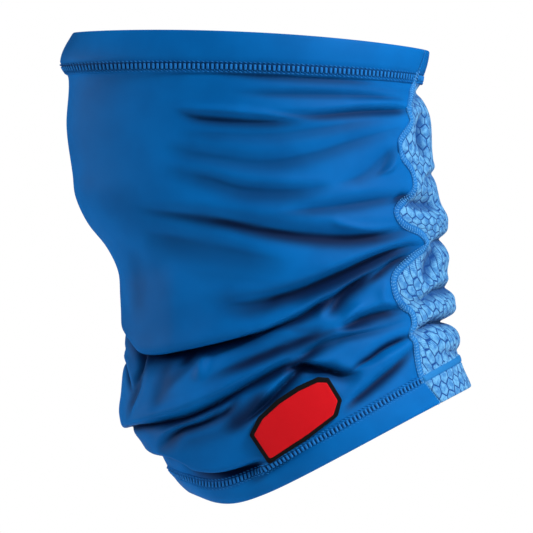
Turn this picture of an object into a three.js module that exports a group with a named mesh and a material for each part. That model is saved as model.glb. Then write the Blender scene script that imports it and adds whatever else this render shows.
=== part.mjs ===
// A cooling neck gaiter: a stretch-knit tube worn from the nose to the base of the neck.
// Millimetres, +Z up, the wearer faces -Y and the wearer's left is +X.
// The origin is the seat on the neck, on the tube's axis.
//
// The tube is one smooth surface cut by a top and a bottom edge. A point on it has a turn
// (0 at the front, +180 degrees at the nape, positive round the wearer's left) and an along
// share (0 at the top edge, 1 at the bottom edge). Folds press creases into it, and every
// piece is a strip of it with a wall, so that neighbours meet with the same small gap.
import * as THREE from 'three';

// Driving sizes
const DEPTH = 240; // nose to nape
const HEIGHT = 276; // top edge to the lowest point of the bottom hem
const WIDTH = 140; // ear to ear
const CLOTH = 1.3; // wall of a single layer
const HEM_CLOTH = 2.0; // wall of a folded hem
const SEAM_CLOTH = 1.8; // wall of the overlock seam
const STITCH_RISE = 0.6; // thickness of a coverstitch row on its hem
const TOP_HEM = 15; // folded band above the top coverstitch
const BOTTOM_HEM = 16.5; // folded band below the bottom coverstitch
const STITCH_BAND = 6.4; // width of a coverstitch row
const SEAM_WIDTH = 4; // width of the overlock seam
const GAP = 0.35; // clearance between neighbouring pieces
const FOLD_DEPTH = 16; // the deepest fold, under the chin
const FOLD_REACH = 20; // the widest slope of a fold
const FOLD_SOFTNESS = 0.35; // how round the bottom of a crease is, as a share of its slope
const PATCH_LENGTH = 56;
const PATCH_HEIGHT = 28;
const PATCH_BACKING = 1.0; // thickness of the black backing
const PATCH_FACE = 0.6; // thickness of the red face on it
const PATCH_MARGIN = 2.6; // black border round the red face

// Where the neck sits, as shares of DEPTH from the nose and of HEIGHT from the top edge
const SEAT_BACK = 0.51;
const SEAT_DOWN = 0.551;

// Mesh fineness: strips across the front and back panels, and rows down the smooth and folded parts
const FRONT_COLUMNS = 42;
const BACK_COLUMNS = 8;
const SMOOTH_ROWS = 11;
const FOLDED_ROWS = 27;
const FOLDED_FROM = 0.4; // along share where the rows get closer
const FOLD_SAMPLES = 4; // steps between two points of a fold's path
const PATCH_RINGS = 3;
const PATCH_SIDE_STEPS = 2;

// Sections of the tube. Columns: along share; back and down shares of the front point; back and
// down shares of the nape point; half width as a share of WIDTH / 2; how much slimmer the front
// is than the back; bow and dip, the sag of the section between its two ends as shares of HEIGHT,
// even for bow and mostly at the front for dip.
const SECTIONS = [
  [0.0, 0.032, 0.004, 0.897, 0.043, 0.95, 0.15, -0.013, 0.0],
  [0.064, 0.0, 0.066, 0.885, 0.089, 0.98, 0.15, -0.009, 0.0],
  [0.1, 0.017, 0.102, 0.877, 0.121, 0.98, 0.15, -0.005, 0.0],
  [0.2, 0.012, 0.204, 0.902, 0.185, 0.99, 0.15, 0.0, 0.0],
  [0.3, 0.027, 0.306, 0.907, 0.257, 1.0, 0.14, 0.0, 0.0],
  [0.345, 0.034, 0.353, 0.912, 0.289, 1.0, 0.14, 0.0, 0.0],
  [0.4, 0.064, 0.409, 0.919, 0.328, 1.0, 0.13, 0.0, 0.0],
  [0.45, 0.11, 0.46, 0.926, 0.364, 0.99, 0.11, 0.0, 0.0],
  [0.5, 0.138, 0.511, 0.936, 0.4, 0.98, 0.1, 0.0, 0.0],
  [0.55, 0.143, 0.562, 0.939, 0.436, 0.97, 0.09, 0.0, 0.0],
  [0.6, 0.146, 0.613, 0.941, 0.472, 0.96, 0.08, 0.0, 0.0],
  [0.66, 0.15, 0.674, 0.944, 0.515, 0.96, 0.07, 0.0, 0.01],
  [0.7, 0.149, 0.715, 0.949, 0.543, 0.97, 0.06, 0.0, 0.02],
  [0.75, 0.145, 0.766, 0.956, 0.579, 0.99, 0.05, 0.0, 0.034],
  [0.8, 0.141, 0.817, 0.963, 0.615, 1.0, 0.05, 0.0, 0.05],
  [0.835, 0.164, 0.851, 0.968, 0.64, 1.0, 0.05, 0.0, 0.06],
  [0.86, 0.208, 0.879, 0.971, 0.657, 1.0, 0.05, 0.0, 0.068],
  [0.88, 0.238, 0.9, 0.973, 0.672, 1.0, 0.05, 0.0, 0.072],
  [0.907, 0.262, 0.93, 0.974, 0.691, 1.0, 0.05, 0.0, 0.074],
  [0.95, 0.287, 0.955, 0.98, 0.721, 0.99, 0.05, 0.0, 0.07],
  [1.0, 0.314, 0.979, 1.0, 0.757, 0.97, 0.05, 0.0, 0.062],
];
const ALONG = 0;
const FRONT_BACK = 1;
const FRONT_DOWN = 2;
const NAPE_BACK = 3;
const NAPE_DOWN = 4;
const HALF_WIDTH = 5;
const SLIMNESS = 6;
const BOW = 7;
const DIP = 8;

// Folds on the wearer's left. deep, lip and droop are shares of FOLD_DEPTH: how far the crease
// goes in, how far the cloth above it bulges and how far that bulge hangs. above and below are
// shares of FOLD_REACH: the slopes on each side. peak is where along the path it is deepest.
// path holds back and down shares, as seen from the wearer's left.
const FOLDS = [
  { name: 'under hem', deep: 0.09, above: 0.12, below: 0.5, lip: 0, droop: 0, peak: 0.7,
    path: [[0.31, 0.083], [0.46, 0.094], [0.66, 0.111], [0.87, 0.128]] },
  { name: 'seam pinch', deep: 0.2, above: 0.25, below: 0.3, lip: 0.04, droop: 0, peak: 0.9,
    path: [[0.51, 0.177], [0.63, 0.183], [0.73, 0.174], [0.85, 0.168]] },
  { name: 'cheek lens', deep: 0.12, above: 0.2, below: 0.35, lip: 0.06, droop: 0, peak: 0.5,
    path: [[0.28, 0.181], [0.375, 0.196], [0.485, 0.2], [0.61, 0.194]] },
  { name: 'cheek', deep: 0.13, above: 0.35, below: 0.5, lip: 0, droop: 0, peak: 0.5,
    path: [[0.25, 0.245], [0.34, 0.266], [0.49, 0.283], [0.61, 0.266], [0.71, 0.238], [0.85, 0.202]] },
  { name: 'lower cheek', deep: 0.1, above: 0.35, below: 0.5, lip: 0, droop: 0, peak: 0.7,
    path: [[0.24, 0.296], [0.363, 0.326], [0.485, 0.34], [0.61, 0.338]] },
  { name: 'below ear', deep: 0.16, above: 0.3, below: 0.35, lip: 0.04, droop: 0, peak: 0.6,
    path: [[0.46, 0.4], [0.586, 0.385], [0.686, 0.372], [0.784, 0.353], [0.85, 0.347]] },
  { name: 'jaw line', deep: 0.32, above: 0.5, below: 0.3, lip: 0.08, droop: 0, peak: 0.6,
    path: [[0.216, 0.377], [0.3, 0.396], [0.412, 0.409], [0.5, 0.421], [0.583, 0.432],
      [0.68, 0.438], [0.76, 0.434], [0.84, 0.426]] },
  { name: 'chin hollow', deep: 0.22, above: 0.5, below: 0.8, lip: 0, droop: 0, peak: 0.4,
    path: [[0.2, 0.43], [0.3, 0.448], [0.42, 0.468], [0.56, 0.491]] },
  { name: 'nape sweep', deep: 0.55, above: 0.3, below: 0.5, lip: 0.16, droop: 0.1, peak: 0.6,
    path: [[0.34, 0.55], [0.426, 0.568], [0.5, 0.568], [0.583, 0.551], [0.672, 0.519],
      [0.735, 0.496], [0.792, 0.472], [0.846, 0.46], [0.91, 0.453]] },
  { name: 'nape second', deep: 0.28, above: 0.15, below: 0.3, lip: 0.1, droop: 0.04, peak: 0.5,
    path: [[0.672, 0.602], [0.735, 0.551], [0.77, 0.523], [0.801, 0.496], [0.848, 0.481]] },
  { name: 'nape wedge', deep: 0.45, above: 0.2, below: 0.25, lip: 0.12, droop: 0.06, peak: 0.45,
    path: [[0.637, 0.611], [0.681, 0.56], [0.716, 0.538], [0.77, 0.511], [0.816, 0.494]] },
  { name: 'chin sling', deep: 1.0, above: 0.25, below: 0.8, lip: 0.2, droop: 0.35, peak: 0.4,
    path: [[0.162, 0.653], [0.191, 0.68], [0.252, 0.674], [0.328, 0.662], [0.407, 0.647],
      [0.483, 0.632], [0.56, 0.615], [0.637, 0.594], [0.69, 0.575]] },
  { name: 'upper seam gather', deep: 0.3, above: 0.2, below: 0.3, lip: 0.1, droop: 0.04, peak: 0.5,
    path: [[0.583, 0.668], [0.627, 0.653], [0.681, 0.626], [0.757, 0.604], [0.858, 0.579]] },
  { name: 'long crease', deep: 0.6, above: 0.3, below: 0.45, lip: 0.16, droop: 0.12, peak: 0.4,
    path: [[0.142, 0.853], [0.191, 0.838], [0.25, 0.821], [0.343, 0.791], [0.436, 0.751],
      [0.5, 0.715], [0.554, 0.687], [0.61, 0.664], [0.657, 0.649], [0.76, 0.626], [0.853, 0.6]] },
  { name: 'second crease', deep: 0.35, above: 0.2, below: 0.3, lip: 0.12, droop: 0.05, peak: 0.4,
    path: [[0.191, 0.872], [0.279, 0.845], [0.343, 0.826], [0.4, 0.8], [0.461, 0.755]] },
  { name: 'lower seam gather', deep: 0.25, above: 0.25, below: 0.3, lip: 0.08, droop: 0, peak: 0.7,
    path: [[0.676, 0.734], [0.711, 0.715], [0.77, 0.689], [0.855, 0.643]] },
  { name: 'above patch', deep: 0.42, above: 0.4, below: 0.35, lip: 0.08, droop: 0, peak: 0.6,
    path: [[0.417, 0.857], [0.463, 0.821], [0.52, 0.772], [0.559, 0.734], [0.596, 0.704], [0.669, 0.702]] },
  { name: 'roll', deep: 0.3, above: 0.25, below: 0.3, lip: 0.08, droop: 0, peak: 0.5,
    path: [[0.26, 0.883], [0.35, 0.86], [0.412, 0.83], [0.461, 0.794]] },
  { name: 'hem sling', deep: 0.5, above: 0.2, below: 0.4, lip: 0.14, droop: 0.2, peak: 0.35,
    path: [[0.206, 0.885], [0.26, 0.898], [0.287, 0.906], [0.324, 0.928], [0.375, 0.938],
      [0.422, 0.936], [0.49, 0.915]] },
];

// On the wearer's right the same folds fall a little otherwise: each is shifted down by up to
// this share of HEIGHT and made up to this share shallower, by turns.
const RIGHT_SHIFT = 0.018;
const RIGHT_EASE = 0.3;

// Notches across the nape, where the textured panel bunches up. Columns: down share at the nape,
// depth as a share of FOLD_DEPTH, slope as a share of FOLD_REACH, turn where it is deepest and
// turn over which it fades, in degrees.
const NOTCHES = [
  [0.125, 0.2, 0.3, 170, 30],
  [0.285, 0.1, 0.2, 165, 25],
  [0.37, 0.12, 0.2, 190, 30],
  [0.443, 0.3, 0.2, 172, 30],
  [0.551, 0.5, 0.22, 170, 32],
  [0.622, 0.75, 0.2, 172, 34],
  [0.682, 0.3, 0.2, 176, 30],
];

// The seam on the wearer's left, from the top edge to the bottom: back and down shares.
const SEAM_PATH = [
  [0.885, 0.043], [0.868, 0.087], [0.858, 0.115], [0.848, 0.168], [0.852, 0.2], [0.824, 0.238],
  [0.828, 0.268], [0.853, 0.298], [0.86, 0.33], [0.85, 0.353], [0.816, 0.381], [0.822, 0.402],
  [0.848, 0.417], [0.875, 0.43], [0.892, 0.457], [0.858, 0.481], [0.812, 0.523], [0.816, 0.564],
  [0.835, 0.585], [0.853, 0.598], [0.858, 0.621], [0.852, 0.643], [0.862, 0.664], [0.868, 0.709],
  [0.877, 0.738], [0.892, 0.757], [0.926, 0.796],
];

// The patch low on the wearer's left: its middle, its tilt, and its outline from the lower left
// corner round, as shares of half its length and half its height.
const PATCH_BACK = 0.574;
const PATCH_DOWN = 0.822;
const PATCH_TILT = 34.5; // degrees, rising towards the nape
const PATCH_OUTLINE = [
  [-0.98, -0.86], [0.0, -0.9], [0.74, -0.82], [1.0, -0.36], [1.03, 0.7], [0.86, 0.98],
  [0.4, 1.14], [-0.1, 1.16], [-0.62, 1.0], [-0.97, 0.6],
];
const PATCH_CALM = 1.5; // folds fade out between the patch and this many times its size

// Colours
const BLUE = 0x0a5fae;
const LIGHT_BLUE = 0x86b6e6;
const STITCH_BLUE = 0x2a78c2;
const BLACK = 0x1c1c20;
const RED = 0xd62430;

const degrees = (angle) => (angle * Math.PI) / 180;

const clampShare = (value) => Math.min(1, Math.max(0, value));

const smoothShare = (value) => {
  const share = clampShare(value);
  return share * share * (3 - 2 * share);
};

const evenSteps = (from, to, steps) => Array.from({ length: steps + 1 }, (_, i) => from + ((to - from) * i) / steps);

const backToY = (share) => DEPTH * (share - SEAT_BACK);

const downToZ = (share) => HEIGHT * (SEAT_DOWN - share);

// Length of the cloth down the nape
const NAPE_LENGTH = HEIGHT * (SECTIONS[SECTIONS.length - 1][NAPE_DOWN] - SECTIONS[0][NAPE_DOWN]);

// Slope of a table column at a row, from its neighbours
function columnSlope(row, column) {
  const before = SECTIONS[Math.max(0, row - 1)];
  const after = SECTIONS[Math.min(SECTIONS.length - 1, row + 1)];
  return (after[column] - before[column]) / (after[ALONG] - before[ALONG]);
}

// The section at an along share: a smooth blend of the two nearest rows
function sectionAt(along) {
  let row = 0;
  while (row < SECTIONS.length - 2 && SECTIONS[row + 1][ALONG] < along) {
    row += 1;
  }
  const low = SECTIONS[row];
  const high = SECTIONS[row + 1];
  const step = high[ALONG] - low[ALONG];
  const s = clampShare((along - low[ALONG]) / step);
  const keepLow = (1 + 2 * s) * (1 - s) * (1 - s);
  const leaveLow = s * (1 - s) * (1 - s) * step;
  const keepHigh = s * s * (3 - 2 * s);
  const reachHigh = s * s * (s - 1) * step;
  return low.map((value, column) => keepLow * value + keepHigh * high[column]
    + leaveLow * columnSlope(row, column) + reachHigh * columnSlope(row + 1, column));
}

// Sag of a section between its front (0) and its nape (1)
function sag(section, across) {
  const even = 4 * across * (1 - across);
  const mostlyFront = (across / (across + 0.08)) * (1 - across) ** 1.3 / 0.53;
  return HEIGHT * (section[BOW] * even + section[DIP] * mostlyFront);
}

// A point of the smooth tube, before any fold
function smoothPoint(turn, along) {
  const section = sectionAt(along);
  const across = (1 - Math.cos(turn)) / 2;
  const x = (WIDTH / 2) * section[HALF_WIDTH] * Math.sin(turn) * (1 - section[SLIMNESS] * Math.cos(turn));
  const y = backToY(THREE.MathUtils.lerp(section[FRONT_BACK], section[NAPE_BACK], across));
  const z = downToZ(THREE.MathUtils.lerp(section[FRONT_DOWN], section[NAPE_DOWN], across));
  return new THREE.Vector3(x, y, z - sag(section, across));
}

// Outward normal of a surface function, from two small steps
const TURN_STEP = degrees(2);
const ALONG_STEP = 0.006;

function normalOf(surface, turn, along) {
  const round = surface(turn + TURN_STEP, along).sub(surface(turn - TURN_STEP, along));
  const down = surface(turn, Math.min(1, along + ALONG_STEP)).sub(surface(turn, Math.max(0, along - ALONG_STEP)));
  return down.cross(round).normalize();
}

// The turn and along share of a place seen from the wearer's left
function chartOf(back, down) {
  const y = backToY(back);
  const z = downToZ(down);
  let high = 0;
  let low = 1;
  let turn = 0;
  for (let step = 0; step < 30; step += 1) {
    const along = (high + low) / 2;
    const section = sectionAt(along);
    const front = backToY(section[FRONT_BACK]);
    const nape = backToY(section[NAPE_BACK]);
    const across = clampShare((y - front) / (nape - front));
    turn = Math.acos(1 - 2 * across);
    if (smoothPoint(turn, along).z > z) {
      high = along;
    } else {
      low = along;
    }
  }
  return { turn, along: (high + low) / 2 };
}

// A fold's path laid on the smooth tube, on the left (side 1) or the right (side -1), as short
// legs that know which way the cloth runs down across them
function layFold(fold, index, side) {
  const ease = side > 0 ? 0 : (1 + Math.cos(2.3 * index)) / 2;
  const shift = RIGHT_SHIFT * ease * (index % 2 ? 1 : -1);
  const places = fold.path.map(([back, down]) => chartOf(back, down + shift));
  const stops = places.slice(0, -1).flatMap((place, leg) => evenSteps(0, 1, FOLD_SAMPLES).slice(0, -1).map((share) => ({
    turn: side * THREE.MathUtils.lerp(place.turn, places[leg + 1].turn, share),
    along: THREE.MathUtils.lerp(place.along, places[leg + 1].along, share),
  })));
  stops.push({ turn: side * places.at(-1).turn, along: places.at(-1).along });
  const points = stops.map(({ turn, along }) => smoothPoint(turn, along));
  const legs = stops.slice(0, -1).map(({ turn, along }, i) => {
    const run = points[i + 1].clone().sub(points[i]);
    const down = run.clone().cross(normalOf(smoothPoint, turn, along)).multiplyScalar(side).normalize();
    return { start: points[i], run, down };
  });
  return { fold, legs, ease: 1 - RIGHT_EASE * ease };
}

const LAID_FOLDS = [1, -1].flatMap((side) => FOLDS.map((fold, index) => layFold(fold, index, side)));

// How far below a fold's path a point lies, and the share of the path where it is nearest
function nearestOnFold(legs, point) {
  let best = Infinity;
  let offset = 0;
  let share = 0;
  legs.forEach(({ start, run, down }, i) => {
    const away = point.clone().sub(start);
    const stop = clampShare(away.dot(run) / run.lengthSq());
    away.addScaledVector(run, -stop);
    const distance = away.lengthSq();
    if (distance < best) {
      best = distance;
      offset = away.dot(down);
      share = (i + stop) / legs.length;
    }
  });
  return { offset, share };
}

// Depth of a fold along its path: nothing at the ends, all of it at the peak
function foldStrength(share, peak) {
  const rise = share < peak ? share / peak : (1 - share) / (1 - peak);
  return clampShare(rise * (2 - rise));
}

// How far a fold moves a point out of the surface, and how far down
function foldMove({ fold, legs, ease }, point) {
  const { offset, share } = nearestOnFold(legs, point);
  const slope = FOLD_REACH * (offset > 0 ? fold.below : fold.above);
  const soft = FOLD_REACH * FOLD_SOFTNESS * Math.min(fold.above, fold.below);
  const crease = Math.exp((soft - Math.hypot(offset, soft)) / slope);
  const bulgeReach = FOLD_REACH * fold.above * 1.3;
  const bulge = Math.exp(-(((offset + 1.7 * bulgeReach) / bulgeReach) ** 2));
  const hangReach = offset < 0 ? 2.6 * bulgeReach : 0.35 * slope;
  const hang = Math.exp(-((offset / hangReach) ** 2));
  const size = FOLD_DEPTH * ease * foldStrength(share, fold.peak);
  return { out: size * (fold.lip * bulge - fold.deep * crease), down: size * fold.droop * hang };
}

// Along share of the nape at a down share
function napeAlong(down) {
  return chartOf(1, down).along;
}

const LAID_NOTCHES = NOTCHES.map(([down, ...rest]) => [napeAlong(down), ...rest]);

// How far the notches press a point in
function notchMove(turn, along) {
  const fullTurn = turn < 0 ? turn + 2 * Math.PI : turn;
  return LAID_NOTCHES.reduce((sum, [nape, deep, reach, middle, fade]) => {
    const distance = Math.abs(along - nape) * NAPE_LENGTH;
    const away = (fullTurn - degrees(middle)) / degrees(fade);
    return sum - FOLD_DEPTH * deep * Math.exp(-distance / (FOLD_REACH * reach)) * Math.exp(-away * away);
  }, 0);
}

// Local place on the patch: how far along and up it a point of the left side lies, in half sizes
function patchPlace(point) {
  const back = point.y - backToY(PATCH_BACK);
  const up = point.z - downToZ(PATCH_DOWN);
  const tilt = degrees(PATCH_TILT);
  return {
    along: (back * Math.cos(tilt) + up * Math.sin(tilt)) / (PATCH_LENGTH / 2),
    up: (up * Math.cos(tilt) - back * Math.sin(tilt)) / (PATCH_HEIGHT / 2),
  };
}

// 0 on the patch, where the cloth lies calm, and 1 away from it
function calm(point) {
  if (point.x < 0) {
    return 1;
  }
  const place = patchPlace(point);
  const reach = (place.along ** 4 + (place.up / 1.1) ** 4) ** 0.25;
  return smoothShare((reach - 1.05) / (PATCH_CALM - 1));
}

// A point of the folded tube
function foldedPoint(turn, along) {
  const point = smoothPoint(turn, along);
  const normal = normalOf(smoothPoint, turn, along);
  const moves = LAID_FOLDS.map((laid) => foldMove(laid, point));
  const share = calm(point);
  const out = moves.reduce((sum, move) => sum + move.out, notchMove(turn, along)) * share;
  const down = moves.reduce((sum, move) => sum + move.down, 0) * share;
  return point.addScaledVector(normal, out).add(new THREE.Vector3(0, 0, -down));
}

// Turn of the seam at an along share
const SEAM_PLACES = SEAM_PATH.map(([back, down]) => chartOf(back, down));

function seamTurn(along) {
  let leg = 0;
  while (leg < SEAM_PLACES.length - 2 && SEAM_PLACES[leg + 1].along < along) {
    leg += 1;
  }
  const start = SEAM_PLACES[leg];
  const end = SEAM_PLACES[leg + 1];
  const share = clampShare((along - start.along) / (end.along - start.along));
  return THREE.MathUtils.lerp(start.turn, end.turn, share);
}

// Lengths on the cloth as shares of along and as turns
const CLOTH_LENGTH = HEIGHT * 0.84;
const SEAM_RADIUS = (DEPTH + WIDTH) / 5;
const alongShare = (length) => length / CLOTH_LENGTH;
const turnShare = (length) => length / SEAM_RADIUS;

// The rows down the tube, grouped by the piece that they cross. A hem runs on under its coverstitch.
const topStitchStart = alongShare(TOP_HEM);
const topStitchEnd = alongShare(TOP_HEM + STITCH_BAND - GAP / 2);
const bottomStitchStart = 1 - alongShare(BOTTOM_HEM + STITCH_BAND - GAP / 2);
const bottomStitchEnd = 1 - alongShare(BOTTOM_HEM);
const ROWS = {
  topHem: [...evenSteps(0, topStitchStart, 2), topStitchEnd],
  panel: [
    ...evenSteps(topStitchEnd + alongShare(GAP), FOLDED_FROM, SMOOTH_ROWS),
    ...evenSteps(FOLDED_FROM, bottomStitchStart - alongShare(GAP), FOLDED_ROWS).slice(1),
  ],
  bottomHem: [bottomStitchStart, ...evenSteps(bottomStitchEnd, 1, 2)],
};
const TOP_STITCH_ROWS = [topStitchStart, topStitchEnd];
const BOTTOM_STITCH_ROWS = [bottomStitchStart, bottomStitchEnd];
const ALL_ROWS = Object.values(ROWS).flat();

// Edges of the front, the back and the two seams, as turns at an along share
const frontEdge = (along) => seamTurn(along) - turnShare(SEAM_WIDTH / 2 + GAP / 2);
const backEdge = (along) => seamTurn(along) + turnShare(SEAM_WIDTH / 2 + GAP / 2);
const seamFront = (along) => seamTurn(along) - turnShare(SEAM_WIDTH / 2 - GAP / 2);
const seamBack = (along) => seamTurn(along) + turnShare(SEAM_WIDTH / 2 - GAP / 2);

// A closed wall between an outer and an inner grid of points, rows by columns
function wall(outer, inner) {
  const rows = outer.length;
  const columns = outer[0].length;
  const positions = [...outer.flat(), ...inner.flat()].flatMap((point) => [point.x, point.y, point.z]);
  const out = (row, column) => row * columns + column;
  const into = (row, column) => rows * columns + row * columns + column;
  const faces = [];
  const quad = (a, b, c, d) => faces.push(a, b, c, a, c, d);
  for (let row = 0; row < rows - 1; row += 1) {
    for (let column = 0; column < columns - 1; column += 1) {
      quad(out(row, column), out(row + 1, column), out(row + 1, column + 1), out(row, column + 1));
      quad(into(row, column), into(row, column + 1), into(row + 1, column + 1), into(row + 1, column));
    }
  }
  for (let column = 0; column < columns - 1; column += 1) {
    quad(out(0, column), out(0, column + 1), into(0, column + 1), into(0, column));
    quad(out(rows - 1, column), into(rows - 1, column), into(rows - 1, column + 1), out(rows - 1, column + 1));
  }
  for (let row = 0; row < rows - 1; row += 1) {
    quad(out(row, 0), into(row, 0), into(row + 1, 0), out(row + 1, 0));
    quad(out(row, columns - 1), out(row + 1, columns - 1), into(row + 1, columns - 1), into(row, columns - 1));
  }
  const geometry = new THREE.BufferGeometry();
  geometry.setAttribute('position', new THREE.Float32BufferAttribute(positions, 3));
  geometry.setIndex(faces);
  geometry.computeVertexNormals();
  return geometry;
}

// A strip of the folded tube: its rows, the turns of its two edges, its wall, and how far its
// outside stands off the surface
function strip(name, colour, rows, edges, columns, thickness, rise) {
  const shares = evenSteps(0, 1, columns);
  const outer = [];
  const inner = [];
  rows.forEach((along) => {
    const turns = shares.map((share) => THREE.MathUtils.lerp(edges.from(along), edges.to(along), share));
    const normals = turns.map((turn) => normalOf(foldedPoint, turn, along));
    const skin = turns.map((turn, column) => foldedPoint(turn, along).addScaledVector(normals[column], rise));
    outer.push(skin);
    inner.push(skin.map((point, column) => point.clone().addScaledVector(normals[column], -thickness)));
  });
  const material = new THREE.MeshStandardMaterial({ color: colour, roughness: 0.7, metalness: 0 });
  const mesh = new THREE.Mesh(wall(outer, inner), material);
  mesh.name = name;
  return mesh;
}

const FRONT_EDGES = { from: (along) => -frontEdge(along), to: frontEdge };
const BACK_EDGES = { from: backEdge, to: (along) => 2 * Math.PI - backEdge(along) };
const LEFT_SEAM_EDGES = { from: seamFront, to: seamBack };
const RIGHT_SEAM_EDGES = { from: (along) => -seamBack(along), to: (along) => -seamFront(along) };

// Half of the extra wall of a hem or a seam shows outside, half inside
const extraRise = (thickness) => (thickness - CLOTH) / 2;

function frontStrip(name, colour, rows, thickness, rise) {
  return strip(name, colour, rows, FRONT_EDGES, FRONT_COLUMNS, thickness, rise);
}

function backStrip(name, colour, rows, thickness, rise) {
  return strip(name, colour, rows, BACK_EDGES, BACK_COLUMNS, thickness, rise);
}

function seamStrip(name, edges) {
  return strip(name, STITCH_BLUE, ALL_ROWS, edges, 1, SEAM_CLOTH, extraRise(SEAM_CLOTH));
}

// The outline of the patch in its own plane, with steps between the corners, drawn in by a margin
function patchOutline(margin) {
  const shrinkAlong = 1 - margin / (PATCH_LENGTH / 2);
  const shrinkUp = 1 - margin / (PATCH_HEIGHT / 2);
  return PATCH_OUTLINE.flatMap(([along, up], corner) => {
    const [nextAlong, nextUp] = PATCH_OUTLINE[(corner + 1) % PATCH_OUTLINE.length];
    return evenSteps(0, 1, PATCH_SIDE_STEPS).slice(0, -1).map((share) => [
      THREE.MathUtils.lerp(along, nextAlong, share) * shrinkAlong,
      THREE.MathUtils.lerp(up, nextUp, share) * shrinkUp,
    ]);
  });
}

// A point over the smooth tube at a place on the patch, lifted off it
function patchPoint(along, up, lift) {
  const tilt = degrees(PATCH_TILT);
  const a = (along * PATCH_LENGTH) / 2;
  const b = (up * PATCH_HEIGHT) / 2;
  const back = PATCH_BACK + (a * Math.cos(tilt) - b * Math.sin(tilt)) / DEPTH;
  const down = PATCH_DOWN - (a * Math.sin(tilt) + b * Math.cos(tilt)) / HEIGHT;
  const place = chartOf(back, down);
  return smoothPoint(place.turn, place.along)
    .addScaledVector(normalOf(smoothPoint, place.turn, place.along), lift);
}

// A thin plate of the patch's shape that follows the tube
function patchPlate(name, colour, margin, lift, thickness) {
  const outline = patchOutline(margin);
  const count = outline.length;
  const layers = [lift + thickness, lift].map((height) => [
    patchPoint(0, 0, height),
    ...evenSteps(0, 1, PATCH_RINGS).slice(1).flatMap((scale) => outline.map(([along, up]) =>
      patchPoint(along * scale, up * scale, height))),
  ]);
  const layerSize = layers[0].length;
  const positions = layers.flat().flatMap((point) => [point.x, point.y, point.z]);
  const faces = [];
  const ring = (layer, turn, i) => layer * layerSize + 1 + turn * count + (i % count);
  for (let i = 0; i < count; i += 1) {
    faces.push(0, ring(0, 0, i), ring(0, 0, i + 1));
    faces.push(layerSize, ring(1, 0, i + 1), ring(1, 0, i));
    for (let turn = 0; turn < PATCH_RINGS - 1; turn += 1) {
      const [a, b] = [ring(0, turn, i), ring(0, turn, i + 1)];
      const [c, d] = [ring(0, turn + 1, i + 1), ring(0, turn + 1, i)];
      faces.push(a, c, b, a, d, c);
      const [e, f] = [ring(1, turn, i), ring(1, turn, i + 1)];
      const [g, h] = [ring(1, turn + 1, i + 1), ring(1, turn + 1, i)];
      faces.push(e, f, g, e, g, h);
    }
    const last = PATCH_RINGS - 1;
    const [p, q] = [ring(0, last, i), ring(0, last, i + 1)];
    const [r, s] = [ring(1, last, i + 1), ring(1, last, i)];
    faces.push(p, s, q, q, s, r);
  }
  const geometry = new THREE.BufferGeometry();
  geometry.setAttribute('position', new THREE.Float32BufferAttribute(positions, 3));
  geometry.setIndex(faces);
  geometry.computeVertexNormals();
  const mesh = new THREE.Mesh(geometry, new THREE.MeshStandardMaterial({ color: colour, roughness: 0.6 }));
  mesh.name = name;
  return mesh;
}

const hemRise = extraRise(HEM_CLOTH);
const stitchRise = hemRise + GAP + STITCH_RISE;
// The patch lies over the upper edge of the coverstitch
const backingSeat = stitchRise + GAP;
const faceSeat = backingSeat + PATCH_BACKING + GAP;

const gaiter = new THREE.Group();
gaiter.name = 'neck_gaiter';
gaiter.add(
  frontStrip('front_panel', BLUE, ROWS.panel, CLOTH, 0),
  backStrip('back_panel', LIGHT_BLUE, ROWS.panel, CLOTH, 0),
  frontStrip('top_hem_front', BLUE, ROWS.topHem, HEM_CLOTH, hemRise),
  backStrip('top_hem_back', BLUE, ROWS.topHem, HEM_CLOTH, hemRise),
  frontStrip('bottom_hem_front', BLUE, ROWS.bottomHem, HEM_CLOTH, hemRise),
  backStrip('bottom_hem_back', LIGHT_BLUE, ROWS.bottomHem, HEM_CLOTH, hemRise),
  frontStrip('top_coverstitch_front', STITCH_BLUE, TOP_STITCH_ROWS, STITCH_RISE, stitchRise),
  backStrip('top_coverstitch_back', STITCH_BLUE, TOP_STITCH_ROWS, STITCH_RISE, stitchRise),
  frontStrip('bottom_coverstitch_front', STITCH_BLUE, BOTTOM_STITCH_ROWS, STITCH_RISE, stitchRise),
  backStrip('bottom_coverstitch_back', STITCH_BLUE, BOTTOM_STITCH_ROWS, STITCH_RISE, stitchRise),
  seamStrip('left_seam', LEFT_SEAM_EDGES),
  seamStrip('right_seam', RIGHT_SEAM_EDGES),
  patchPlate('patch_border', BLACK, 0, backingSeat, PATCH_BACKING),
  patchPlate('patch_face', RED, PATCH_MARGIN, faceSeat, PATCH_FACE),
);

export default gaiter;
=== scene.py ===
"""Cooling neck gaiter, dressed for rendering.

A stretch-knit tube in its worn form, seen from the wearer's left: a smooth blue panel round the
front, a light textured panel gathered at the nape, folded hems with coverstitch, overlock seams
and a small bare patch. Everything is in metres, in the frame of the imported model: +Z is up, -Y is
the wearer's front and +X the wearer's left.

The cloth is one smooth surface cut by the two hems. A place on it has a turn (0 at the front,
half a circle at the nape, positive round the wearer's left) and an along share (0 at the top
edge, 1 at the bottom edge). Folds press creases and rolls into it, and every piece of cloth is
laid on that folded surface.
"""

from __future__ import annotations

import logging
import math
from dataclasses import dataclass
from enum import Enum
from typing import Any, Callable, NamedTuple, Sequence

import bpy
import numpy as np
from mathutils import Matrix, Vector

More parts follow.
